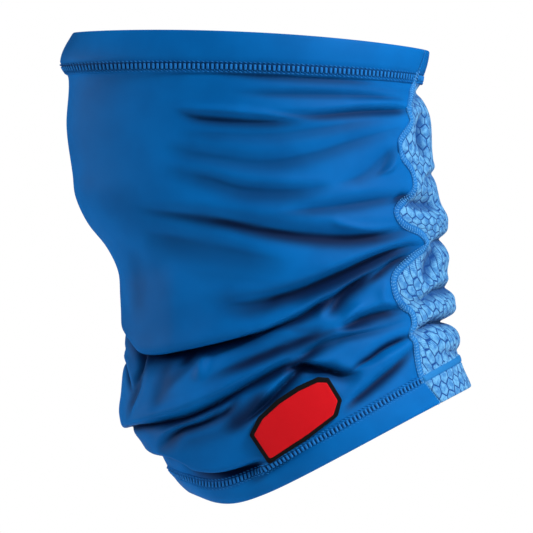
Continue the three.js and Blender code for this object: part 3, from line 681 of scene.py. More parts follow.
    def folded_and_painted_shade(self, turn: np.ndarray, along: np.ndarray) -> tuple[np.ndarray, np.ndarray]:
        """Points of the folded tube, and the painted shade of each, from 0 to 1, strongest deep in creases.
        """
        smooth = self.smooth(turn, along)
        points = smooth.reshape(-1, 3)
        turns, alongs = np.broadcast_arrays(np.asarray(turn, float), np.asarray(along, float))
        normals = self.normal(self.smooth, turns, alongs).reshape(-1, 3)
        sums = np.zeros((4, len(points)))
        ridges = np.zeros(len(points))
        for laid in self.laid:
            near = laid.near(points)
            if near.size == 0:
                continue
            *pressed, ridge = laid.moves(points[near])
            for total, move in zip(sums, pressed):
                total[near] += move**SHARING
            ridges[near] += ridge
        deep, lip, droop, painted_shade = sums ** (1 / SHARING)
        calm = self.calm(points, self.calm_fade)
        moved = points + normals * ((lip + ridges - deep) * calm)[:, None]
        moved[:, 2] -= droop * calm
        painted_shade = share(painted_shade * self.calm(points, self.calm_painted_shade_fade))
        return moved.reshape(smooth.shape), painted_shade.reshape(smooth.shape[:-1])

    def spread_rows(self, turns: np.ndarray, start: float, end: float, rows: int) -> np.ndarray:
        """Along shares that share the folded cloth evenly down each column.

        Args:
            turns: Turns at the middle of each column.
            start: Along share of the first row.
            end: Along share of the last row.
            rows: Number of rows.

        Returns:
            A grid of along shares, rows by columns.
        """
        trial = np.linspace(start, end, self.row_trials)
        kept = turns[:: max(1, len(turns) // self.row_columns)]
        points = self.folded(kept[None, :], trial[:, None])
        steps = np.cumsum(length_of(np.diff(points, axis=0)), axis=0)
        lengths = np.vstack([np.zeros(len(kept)), steps])
        columns = [np.interp(np.linspace(0, run[-1], rows), run, trial) for run in lengths.T]
        grid = np.stack(columns, axis=1)
        for _ in range(2):
            grid[:, 1:-1] = (grid[:, :-2] + 2 * grid[:, 1:-1] + grid[:, 2:]) / 4
        return np.stack([np.interp(turns, kept, row) for row in grid])


@dataclass
class Layer:
    """A grid of points on the folded tube, with normals, lengths along the cloth and painted shade."""

    points: np.ndarray
    normals: np.ndarray
    across: np.ndarray
    down: np.ndarray
    painted_shade: np.ndarray

    @classmethod
    def on(cls, form: TubeForm, turns: np.ndarray, alongs: np.ndarray, relax: int = 0) -> "Layer":
        """Lay a grid on the folded tube.

        Args:
            form: The tube.
            turns: Turns, rows by columns.
            alongs: Along shares, rows by columns.
            relax: How often the grid is eased, so that creases are a little rounded.

        Returns:
            The grid.
        """
        points, painted_shade = form.folded_and_painted_shade(turns, alongs)
        for _ in range(relax):
            points, painted_shade = cls.eased(points), cls.eased(painted_shade)
        normals = unit(np.cross(np.gradient(points, axis=0), np.gradient(points, axis=1)))
        step_across = length_of(np.diff(points, axis=1))
        across = np.hstack([np.zeros((len(points), 1)), np.cumsum(step_across, axis=1)])
        across -= across[:, -1:] / 2
        step_down = length_of(np.diff(points, axis=0))
        down = np.vstack([np.zeros((1, points.shape[1])), np.cumsum(step_down, axis=0)])
        return cls(points, normals, across, down, painted_shade)

    @staticmethod
    def eased(values: np.ndarray) -> np.ndarray:
        """A grid with each inner value drawn half way to its four neighbours."""
        around = values[:-2, 1:-1] + values[2:, 1:-1] + values[1:-1, :-2] + values[1:-1, 2:]
        out = values.copy()
        out[1:-1, 1:-1] = 0.5 * values[1:-1, 1:-1] + 0.125 * around
        return out

    def lifted(self, rise: np.ndarray | float) -> np.ndarray:
        """The grid's points raised along their normals."""
        return self.points + self.normals * np.asarray(rise)[..., None]


class Cloth:
    """Meshes of cloth: grids with a wall, and bands with a closed profile."""

    @staticmethod
    def quads(grid: np.ndarray) -> Faces:
        """The faces between the points of a grid of indices."""
        corners = np.stack([grid[:-1, :-1], grid[1:, :-1], grid[1:, 1:], grid[:-1, 1:]], axis=-1)
        return [tuple(face) for face in corners.reshape(-1, 4).tolist()]

    @staticmethod
    def finish(
        name: str, points: np.ndarray, faces: Faces, uvs: np.ndarray, painted_shade: np.ndarray | None = None
    ) -> bpy.types.Object:
        """Make an object of a mesh.

        Args:
            name: The object's name.
            points: Its points.
            faces: Its faces.
            uvs: Lengths along the cloth at each point, in metres, kept as a UV map.
            painted_shade: Painted shade of each point, from 0 to 1, kept as an attribute that darkens the
                colour.

        Returns:
            The object.
        """
        mesh = bpy.data.meshes.new(name)
        mesh.from_pydata(points.tolist(), [], faces)
        layer = mesh.uv_layers.new(name="cloth")
        loops = np.empty(len(mesh.loops), dtype=np.int32)
        mesh.loops.foreach_get("vertex_index", loops)
        layer.data.foreach_set("uv", uvs[loops].astype(np.float32).ravel())
        # Painted shade, kept for the materials to darken the colour in creases and under stitches
        if painted_shade is not None:
            painted_shade_dark = mesh.attributes.new("painted_shade", "FLOAT", "POINT")
            painted_shade_dark.data.foreach_set("value", painted_shade.astype(np.float32).ravel())
        mesh.validate()
        mesh.polygons.foreach_set("use_smooth", np.ones(len(mesh.polygons), dtype=bool))
        mesh.update()
        obj = bpy.data.objects.new(name, mesh)
        bpy.context.collection.objects.link(obj)
        return obj

    @classmethod
    def walled(cls, name: str, layer: Layer, wall: float) -> bpy.types.Object:
        """A sheet with a wall: a fine outside, an inside of every second point, and closed rims."""
        outer, inner = layer.points, layer.lifted(-wall)[::2, ::2]
        out = np.arange(outer[..., 0].size).reshape(outer.shape[:2])
        into = out.size + np.arange(inner[..., 0].size).reshape(inner.shape[:2])
        faces = cls.quads(out) + cls.quads(into.T)
        edges = (
            (out[0], into[0], 1),
            (out[-1], into[-1], -1),
            (out[:, 0], into[:, 0], -1),
            (out[:, -1], into[:, -1], 1),
        )
        for fine, coarse, way in edges:
            last = 2 * len(coarse) - 2
            ahead = [fine[0:last:2], fine[1:last:2], fine[2 : last + 1 : 2]]
            rims = np.stack([*ahead, coarse[1:], coarse[:-1]], axis=-1)
            faces += [tuple(rim) for rim in rims[:, ::way].tolist()]
        uv = np.stack([layer.across, layer.down], axis=-1)
        points = np.vstack([outer.reshape(-1, 3), inner.reshape(-1, 3)])
        uvs = np.vstack([uv.reshape(-1, 2), uv[::2, ::2].reshape(-1, 2)])
        painted_shade = np.concatenate([layer.painted_shade.ravel(), layer.painted_shade[::2, ::2].ravel()])
        return cls.finish(name, points, faces, uvs, painted_shade)

    @classmethod
    def band(cls, name: str, base: Layer, alongs: np.ndarray, profile: Sequence[Place]) -> bpy.types.Object:
        """A band with a closed profile laid along the rows of a grid.

        Args:
            name: The object's name.
            base: The grid that the band follows.
            alongs: The along share of each row of the grid.
            profile: Along share, rise and painted shade of each point of the profile, once round it.

        Returns:
            The band.
        """
        shares, rises, painted_shades = np.array(profile).T
        places = np.interp(shares, alongs, np.arange(len(alongs)))
        row = np.minimum(places.astype(int), len(alongs) - 2)
        part = places - row

        def between(values: np.ndarray) -> np.ndarray:
            weight = part.reshape(-1, *[1] * (values.ndim - 1))
            return (1 - weight) * values[row] + weight * values[row + 1]

        points = between(base.points) + unit(between(base.normals)) * rises[:, None, None]
        uvs = np.stack([base.across[row], between(base.down)], axis=-1)
        painted_shade = np.maximum(painted_shades[:, None], between(base.painted_shade))
        index = np.arange(painted_shade.size).reshape(painted_shade.shape)
        faces = cls.quads(np.vstack([index, index[:1]]))
        faces += [tuple(index[::-1, 0].tolist()), tuple(index[:, -1].tolist())]
        return cls.finish(name, points.reshape(-1, 3), faces, uvs.reshape(-1, 2), painted_shade)


class Maker:
    """Modelling by operators, as by hand."""

    @staticmethod
    def clear() -> None:
        """Deselect everything."""
        bpy.ops.object.select_all(action="DESELECT")

    @staticmethod
    def name(name: str) -> bpy.types.Object:
        """Name the active object and its mesh."""
        obj = bpy.context.object
        obj.name = name
        obj.data.name = name
        return obj

    @classmethod
    def thread(cls, name: str, width: float, length: float, height: float, sides: int) -> bpy.types.Object:
        """A short rounded stitch lying along Y, its foot at the origin's height."""
        cls.clear()
        bpy.ops.mesh.primitive_cylinder_add(
            vertices=sides, radius=width / 2, depth=length - 0.5 * width, rotation=(math.pi / 2, 0, 0)
        )
        obj = cls.name(name)
        bpy.ops.object.transform_apply(location=True, rotation=True, scale=True)
        bpy.ops.object.mode_set(mode="EDIT")
        bpy.ops.mesh.select_all(action="DESELECT")
        bpy.ops.mesh.select_mode(type="FACE")
        bpy.ops.object.mode_set(mode="OBJECT")
        for face in obj.data.polygons:
            face.select = abs(face.normal.y) > 0.9
        bpy.ops.object.mode_set(mode="EDIT")
        bpy.ops.mesh.bevel(offset=0.3 * width, offset_type="OFFSET", segments=2, affect="EDGES")
        bpy.ops.mesh.select_all(action="SELECT")
        bpy.ops.transform.resize(value=(1, 1, height / width))
        bpy.ops.object.mode_set(mode="OBJECT")
        bpy.ops.object.shade_smooth()
        return obj

    @classmethod
    def joined(cls, name: str, parts: Sequence[bpy.types.Object]) -> bpy.types.Object:
        """Join objects into one."""
        cls.clear()
        for part in parts:
            part.select_set(True)
        bpy.context.view_layer.objects.active = parts[0]
        bpy.ops.object.join()
        return cls.name(name)

    @classmethod
    def copies(cls, name: str, unit_piece: bpy.types.Object, places: Sequence[Matrix]) -> bpy.types.Object:
        """Copy a piece to many places and join the copies.

        Args:
            name: The name of the joined object.
            unit_piece: The piece that repeats, which is deleted afterwards.
            places: Where each copy goes.

        Returns:
            The joined object.
        """
        made = []
        for place in places:
            copy = unit_piece.copy()
            copy.data = unit_piece.data.copy()
            copy.data.transform(place)
            bpy.context.collection.objects.link(copy)
            made.append(copy)
        bpy.data.objects.remove(unit_piece, do_unlink=True)
        return cls.joined(name, made)


class Value:
    """A number or vector socket that adds Math nodes when it is used in an expression."""

    def __init__(self, graph: "Graph", socket: bpy.types.NodeSocket) -> None:
        """Wrap a socket of a graph."""
        self.graph = graph
        self.socket = socket

    def math(self, operation: str, *others: "Value | float") -> "Value":
        """A Math node with this value first."""
        return self.graph.math(operation, self, *others)

    def __add__(self, other: "Value | float") -> "Value":
        """This plus other."""
        return self.math("ADD", other)

    __radd__ = __add__

    def __sub__(self, other: "Value | float") -> "Value":
        """This minus other."""
        return self.math("SUBTRACT", other)

    def __rsub__(self, other: float) -> "Value":
        """Other minus this."""
        return self.graph.math("SUBTRACT", other, self)

    def __mul__(self, other: "Value | float") -> "Value":
        """This times other."""
        return self.math("MULTIPLY", other)

    __rmul__ = __mul__

    def __truediv__(self, other: "Value | float") -> "Value":
        """This divided by other."""
        return self.math("DIVIDE", other)

    def __abs__(self) -> "Value":
        """This without its sign."""
        return self.math("ABSOLUTE")

    def wave(self, period: float) -> "Value":
        """A sine of this, from -1 to 1."""
        return (self * (2 * math.pi / period)).math("SINE")

    def wrapped(self, period: float) -> "Value":
        """This brought into one period, centred on nought."""
        return self.math("FLOORED_MODULO", period) - period / 2

    def ramp(self, low: float, high: float) -> "Value":
        """0 below low, 1 above high, and smooth between."""
        inputs = {"Value": self, "From Min": low, "From Max": high}
        node = self.graph.node("ShaderNodeMapRange", {"interpolation_type": "SMOOTHSTEP"}, inputs)
        return Value(self.graph, node.outputs["Result"])


class Graph:
    """The nodes of a material or of the world."""

    def __init__(self, owner: bpy.types.Material | bpy.types.World) -> None:
        """Start with no nodes."""
        self.owner = owner
        owner.use_nodes = True
        self.tree = owner.node_tree
        self.tree.nodes.clear()

    def node(self, kind: str, settings: dict[str, Any], inputs: dict[Any, Any]) -> bpy.types.Node:
        """Add a node.

        Args:
            kind: The node's type.
            settings: Its settings, which are set first.
            inputs: Values or links of its sockets, by name or number.

        Returns:
            The node.
        """
        node = self.tree.nodes.new(kind)
        for key, value in settings.items():
            setattr(node, key, value)
        for key, value in inputs.items():
            given = value.socket if isinstance(value, Value) else value
            if isinstance(given, bpy.types.NodeSocket):
                self.tree.links.new(given, node.inputs[key])
            else:
                node.inputs[key].default_value = given
        return node

    def math(self, operation: str, *values: Value | float) -> Value:
        """Add a Math node."""
        node = self.node("ShaderNodeMath", {"operation": operation}, dict(enumerate(values)))
        return Value(self, node.outputs[0])

    def mix(self, factor: Value | float, first: Any, second: Any) -> bpy.types.NodeSocket:
        """Blend two colours. A Mix node has sockets for each kind of data, and colours are 6 and 7."""
        node = self.node("ShaderNodeMix", {"data_type": "RGBA"}, {0: factor, 6: first, 7: second})
        return node.outputs[2]

    def cloth(self) -> tuple[Value, Value]:
        """Lengths across and down the cloth, in metres."""
        coords = self.node("ShaderNodeUVMap", {"uv_map": "cloth"}, {})
        parts = self.node("ShaderNodeSeparateXYZ", {}, {"Vector": coords.outputs["UV"]})
        return Value(self, parts.outputs["X"]), Value(self, parts.outputs["Y"])

    def place(self) -> tuple[Value, Value]:
        """Y and Z on the object, in metres."""
        coords = self.node("ShaderNodeTexCoord", {}, {}).outputs["Object"]
        parts = self.node("ShaderNodeSeparateXYZ", {}, {"Vector": coords})
        return Value(self, parts.outputs["Y"]), Value(self, parts.outputs["Z"])

    def painted_shade(self) -> Value:
        """Painted shade on the cloth, from 0 to 1, strongest deep in creases and under stitches."""
        node = self.node("ShaderNodeAttribute", {"attribute_name": "painted_shade"}, {})
        return Value(self, node.outputs["Fac"])

    def noise(self, scale: float, detail: float) -> Value:
        """Soft noise from 0 to 1 on object coordinates."""
        coords = self.node("ShaderNodeTexCoord", {}, {}).outputs["Object"]
        node = self.node("ShaderNodeTexNoise", {}, {"Vector": coords, "Scale": scale, "Detail": detail})
        return Value(self, node.outputs["Fac"])

    def shade(
        self, inputs: dict[str, Any], height: Value | None = None, distance: float = 0.0
    ) -> bpy.types.Material:
        """Close the material with a Principled shader and a bump.

        Args:
            inputs: Values or links of the shader's sockets.
            height: What the bump follows, from 0 to 1.
            distance: How high the bump is, in metres.

        Returns:
            The material.
        """
        if height is not None:
            settings = {"Height": height, "Distance": distance, "Strength": 1.0}
            bump = self.node("ShaderNodeBump", {}, settings)
            inputs = {**inputs, "Normal": bump.outputs["Normal"]}
        shader = self.node("ShaderNodeBsdfPrincipled", {}, inputs)
        self.node("ShaderNodeOutputMaterial", {}, {"Surface": shader.outputs["BSDF"]})
        return self.owner


def colour(red: int, green: int, blue: int) -> tuple[float, float, float, float]:
    """A screen colour as linear light."""

    def linear(value: int) -> float:
        level = value / 255
        return level / 12.92 if level <= 0.04045 else ((level + 0.055) / 1.055) ** 2.4

    return linear(red), linear(green), linear(blue), 1.0


@dataclass(frozen=True)
class SmoothKnit:
    """Satin stretch knit: a deep blue with fine wales."""

    name: str = "smooth_knit_cloth"
    body: Colour = (0, 97, 170)
    shadow: Colour = (0, 86, 154)
    # Painted shade: the navy that creases and stitched grooves are darkened towards, and how far
    painted_shade_dark: Colour = (8, 13, 42)
    painted_shade_strength: float = 0.93
    wale: float = 0.55 * MM
    course: float = 0.45 * MM
    relief: float = 0.05 * MM
    wale_share: float = 0.6
    cloud: float = 26.0
    cloud_range: Pair = (0.3, 0.7)
    roughness: float = 0.55
    unevenness: float = 0.1
    specular: float = 0.05

    def material(self) -> bpy.types.Material:
        """Make the material."""
        graph = Graph(bpy.data.materials.new(self.name))
        u, v = graph.cloth()
        wales = u.wave(self.wale) * self.wale_share
        height = (wales + v.wave(self.course) * (1 - self.wale_share)) * 0.5 + 0.5
        cloud = graph.noise(self.cloud, 3.0)
        body = graph.mix(cloud.ramp(*self.cloud_range), colour(*self.shadow), colour(*self.body))
        # Painted shade: darker towards the navy where the cloth lies deep in a fold or under stitches
        body = graph.mix(graph.painted_shade() * self.painted_shade_strength, body, colour(*self.painted_shade_dark))
        rough = cloud * self.unevenness + (self.roughness - self.unevenness / 2)
        inputs = {"Base Color": body, "Roughness": rough, "Specular IOR Level": self.specular}
        return graph.shade(inputs, height, self.relief)


@dataclass(frozen=True)
class TexturedKnit:
    """Light knit with a net of darker cells and a fine stipple."""

    name: str = "textured_knit_cloth"
    light: Colour = (116, 184, 226)
    mid: Colour = (18, 94, 164)
    line: Colour = (4, 62, 130)
    # Painted shade: the dark blue that creases and stitched grooves are darkened towards, and how far
    painted_shade_dark: Colour = (0, 58, 120)
    sheen: Colour = (190, 220, 250)
    painted_shade_strength: float = 0.85
    cell: float = 7.4 * MM
    stretch: float = 1.05
    drift: float = 0.5
    drift_noise: tuple[Pair, Pair] = ((60.0, 2.0), (48.0, 1.0))
    ripple: float = 0.05
    line_width: float = 0.075
    stipple: float = 0.95 * MM
    stipple_slant: float = 0.6
    stipple_range: Pair = (-0.2, 0.7)
    stipple_share: float = 0.55
    fleck_noise: Pair = (300.0, 3.0)
    fleck_range: Pair = (0.35, 0.65)
    swell_height: float = 0.7
    stipple_height: float = 0.15
    line_depth: float = 0.3
    roughness: float = 0.72
    specular: float = 0.12
    sheen_weight: float = 0.1
    relief: float = 0.45 * MM

    def net(self, graph: Graph, u: Value, v: Value) -> Value:
        """How near the edge of its six-sided cell a place lies, 0 in the middle and 0.5 at the edge."""
        noise_x, noise_y = self.drift_noise
        x = u / self.cell + (graph.noise(*noise_x) - 0.5) * self.drift
        y = v / (self.cell * self.stretch) + (graph.noise(*noise_y) - 0.5) * self.drift
        row = math.sqrt(3) / 2
        y = y + y.wave(row) * self.ripple
        first = (x.wrapped(1.0), y.wrapped(2 * row))
        second = ((x + 0.5).wrapped(1.0), (y + row).wrapped(2 * row))
        near_first = first[0] * first[0] + first[1] * first[1]
        near_second = second[0] * second[0] + second[1] * second[1]
        pick = near_first.math("LESS_THAN", near_second)
        gx = abs(first[0] * pick + second[0] * (1 - pick))
        gy = abs(first[1] * pick + second[1] * (1 - pick))
        return gx.math("MAXIMUM", gx * 0.5 + gy * row)

    def material(self) -> bpy.types.Material:
        """Make the material."""
        graph = Graph(bpy.data.materials.new(self.name))
        u, v = graph.cloth()
        edge = self.net(graph, u, v)
        line = edge.ramp(0.5 - self.line_width, 0.5 - 0.25 * self.line_width)
        swell = 1 - (edge * 2).math("POWER", 3.0)
        dots_u = u.wave(self.stipple)
        dots_v = (v * (2 * math.pi / (0.8 * self.stipple)) + dots_u * self.stipple_slant).math("SINE")
        dots = (dots_u * dots_v).ramp(*self.stipple_range)
        grain = graph.noise(*self.fleck_noise).ramp(*self.fleck_range)
        fleck = dots * self.stipple_share + grain * (1 - self.stipple_share)
        body = graph.mix(fleck, colour(*self.mid), colour(*self.light))
        body = graph.mix(line, body, colour(*self.line))
        # Painted shade: darker towards the dark blue where the cloth lies deep in a fold or under stitches
        body = graph.mix(graph.painted_shade() * self.painted_shade_strength, body, colour(*self.painted_shade_dark))
        raised = swell * self.swell_height + dots * self.stipple_height
        height = raised - line * self.line_depth + self.line_depth
        inputs = {
            "Base Color": body,
            "Roughness": self.roughness,
            "Specular IOR Level": self.specular,
            "Sheen Weight": self.sheen_weight,
            "Sheen Roughness": 0.5,
            "Sheen Tint": colour(*self.sheen),
        }
        return graph.shade(inputs, height, self.relief)


@dataclass(frozen=True)
class Thread:
    """Stitching thread, a little brighter than the cloth, with a fine twist."""

    name: str = "stitch_thread"
    bright: Colour = (30, 120, 194)
    dark: Colour = (4, 94, 168)
    twist: float = 0.5 * MM
    relief: float = 0.08 * MM
    roughness: float = 0.65

    def material(self) -> bpy.types.Material:
        """Make the material."""
        graph = Graph(bpy.data.materials.new(self.name))
        y, z = graph.place()
        ply = (z + y * 0.7).wave(self.twist) * 0.5 + 0.5
        shade = graph.noise(900.0, 2.0).ramp(0.3, 0.7) * 0.6 + ply * 0.4
        body = graph.mix(shade, colour(*self.dark), colour(*self.bright))
        inputs = {"Base Color": body, "Roughness": self.roughness, "Specular IOR Level": 0.1}
        return graph.shade(inputs, ply, self.relief)


@dataclass(frozen=True)
class PatchWeave:
    """Woven patch cloth with a fine twill."""

    name: str
    body: Colour
    dark: Colour
    roughness: float
    twill: float = 0.8 * MM
    relief: float = 0.12 * MM

    def material(self) -> bpy.types.Material:
        """Make the material."""
        graph = Graph(bpy.data.materials.new(self.name))
        y, z = graph.place()
        weave = (y + z * 0.2).wave(self.twill) * (z - y * 0.7).wave(0.6 * self.twill) * 0.5 + 0.5
        shade = weave * 0.6 + graph.noise(120.0, 3.0) * 0.4
        body = graph.mix(shade, colour(*self.dark), colour(*self.body))
        inputs = {"Base Color": body, "Roughness": self.roughness, "Specular IOR Level": 0.12}
        return graph.shade(inputs, weave, self.relief)


class Finish(NamedTuple):
    """A material, and the record's slot that it goes in."""

    material: bpy.types.Material
    slot: str


class Finishes:
    """Every finish of the gaiter, made once."""

    def __init__(self) -> None:
        """Make the materials."""
        pale = Thread("seam_thread", (98, 164, 216), (30, 104, 174))
        stripe = SmoothKnit("stripe_binding", (40, 118, 182), (30, 108, 172), roughness=0.6)
        tape = SmoothKnit("seam_tape_cloth", (36, 116, 184), (22, 98, 168), roughness=0.6)
        backing = PatchWeave("patch_backing_cloth", (14, 14, 17), (5, 5, 7), 0.85)
        face = PatchWeave("patch_face_cloth", (214, 12, 26), (190, 6, 18), 0.7)
        self.smooth = Finish(SmoothKnit().material(), "smooth_knit")
        self.textured = Finish(TexturedKnit().material(), "textured_knit")
        self.thread = Finish(Thread().material(), "stitching")
        self.pale_thread = Finish(pale.material(), "stitching")
        self.stripe = Finish(stripe.material(), "stitching")
        self.tape = Finish(tape.material(), "stitching")
        self.backing = Finish(backing.material(), "patch_black")
        self.face = Finish(face.material(), "patch_red")


def dress(piece: bpy.types.Object, finish: Finish, *nodes: str) -> None:
    """Give a piece its material, and put it in place of the nodes it stands for.

    Args:
        piece: The finished piece.
        finish: Its material and slot.
        nodes: The nodes that it stands for.
    """
    piece.data.materials.clear()
    piece.data.materials.append(finish.material)
    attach(piece, "root")
    if nodes:
        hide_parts(*nodes)
    log.info("%s: %d faces", piece.name, len(piece.data.polygons))


@dataclass
class Panels:
    """The smooth front panel and the textured back panel."""

    form: TubeForm
    wall: float = 0.7 * MM
    tuck: float = 1.4 * MM
    trials: int = 60

    def build(self, side: Side, columns: int, rows: int, relax: int, finish: Finish) -> bpy.types.Object:
        """Build a panel between the seams, its edges tucked under the hems.

        Args:
            side: Which panel.
            columns: Points across.
            rows: Points down.
            relax: How often the grid is eased.
            finish: Its material and slot.

        Returns:
            The panel.
        """
        form = self.form
        covered = form.stitch_band - self.tuck
        top, bottom = (form.from_edge(edge, form.hem(edge) + covered) for edge in Edge)
        ways = np.linspace(-1.0, 1.0, columns)
        middle = np.mean(form.seam_turn(np.linspace(top, bottom, self.trials)))
        alongs = form.spread_rows(form.across(side, ways, middle), top, bottom, rows)
        turns = form.across(side, ways, form.seam_turn(alongs), form.seam_gap)
        layer = Layer.on(form, turns, alongs, relax)
        piece = Cloth.walled(f"{side.value}_panel_cloth", layer, self.wall)
        dress(piece, finish, f"{side.value}_panel")
        return piece


@dataclass
class Hems:
    """The folded hems at the top and bottom, over each panel.

    Attributes:
        form: The tube.
        rise: How far a hem stands over the cloth.
        turned: Lengths from the edge and shares of the rise, where the cloth turns over.
        puff: How much further the middle of the hem swells.
        puff_start: Where the swelling starts.
        puff_short: How much shorter it is than the hem.
        puff_steps: Steps of the swelling.
        groove: How deep the stitched groove is.
        groove_ends: Where the groove starts after the hem, and ends before the band does.
        groove_steps: Steps of the groove.
        ended: Lengths before the band's end and shares of the rise, where the hem thins out.
        lap: How far the hem stays full before its stitches.
        inside: Rise of the inside, as a share of the outside's.
        holes_and_painted_shade: How dark the cloth is under the stitches: needle holes and painted shade
            between the rungs.
        stitch_shade_short: How much narrower the painted shade is than the band.
        stitch_shade_width: Half the width of the painted shade, as a share of the band.
        stitch_shade_edge: How sharply the painted shade ends.
        rows: Points down the hem.
    """

    form: TubeForm
    rise: float = 0.95 * MM
    turned: Path = ((0.0, 0.0), (0.25 * MM, 0.6), (0.8 * MM, 0.92))
    puff: float = 0.35 * MM
    puff_start: float = 0.8 * MM
    puff_short: float = 1.4 * MM
    puff_steps: int = 9
    groove: float = 0.35 * MM
    groove_ends: Pair = (0.5 * MM, 0.9 * MM)
    groove_steps: int = 7
    ended: Path = ((0.2 * MM, 0.5), (0.0, 0.1))
    lap: float = 0.2 * MM
    inside: float = 0.8
    holes_and_painted_shade: float = 0.85
    stitch_shade_short: float = 0.4 * MM
    stitch_shade_width: float = 0.28
    stitch_shade_edge: int = 6
    rows: int = 24

    def outside(self, width: float, band: float) -> list[Pair]:
        """Lengths from the edge and rises of the outside: a puffed band and a stitched groove."""
        line: list[Pair] = [(length, part * self.rise) for length, part in self.turned]
        for step in range(1, self.puff_steps):
            part = step / self.puff_steps
            swell = self.puff * math.sin(math.pi * part)
            line.append((self.puff_start + (width - self.puff_short) * part, self.rise + swell))
        line.append((width - self.lap, self.rise))
        first, last = self.groove_ends
        grooved = np.linspace(width + first, width + band - last, self.groove_steps)
        line.extend((place, self.rise - self.groove) for place in grooved)
        line.extend((width + band - length, part * self.rise) for length, part in self.ended)
        return line

    def profile(self, edge: Edge) -> list[Place]:
        """The hem's profile, once round, with painted shade at the stitches: along share, rise and shade.
        """
        form = self.form
        width, band = form.hem(edge), form.stitch_band
        outside = self.outside(width, band)
        inside = [(length, -rise * self.inside) for length, rise in reversed(outside[1:])]
        middle = width + (band - self.stitch_shade_short) / 2
        loop = []
        for length, rise in [*outside, *inside]:
            near = abs(length - middle) / (self.stitch_shade_width * band)
            # Painted shade under the stitches, with the needle holes, darkest in the middle of the band
            shade = self.holes_and_painted_shade * math.exp(-(near**self.stitch_shade_edge)) if rise > 0 else 0.0
            loop.append((form.from_edge(edge, length), rise, shade))
        return loop[::-1] if edge is Edge.BOTTOM else loop

    def build(self, edge: Edge, side: Side, columns: int, finish: Finish) -> bpy.types.Object:
        """Build one hem.

        Args:
            edge: Which edge it closes.
            side: Which panel it is over.
            columns: Points along it.
            finish: Its material and slot.

        Returns:
            The hem.
        """
        form = self.form
        reach = form.from_edge(edge, form.hem(edge) + form.stitch_band)
        ends = (reach, 1) if edge is Edge.BOTTOM else (0, reach)
        alongs = np.linspace(*ends, self.rows)
        ways = np.linspace(-1, 1, columns)
        turns = form.across(side, ways, form.seam_turn(alongs)[:, None], form.seam_gap)
        base = Layer.on(form, turns, np.repeat(alongs[:, None], columns, axis=1), relax=1)
        node = f"{edge.value}_hem_{side.value}"
        piece = Cloth.band(f"{node}_cloth", base, alongs, self.profile(edge))
        dress(piece, finish, node)
        return piece


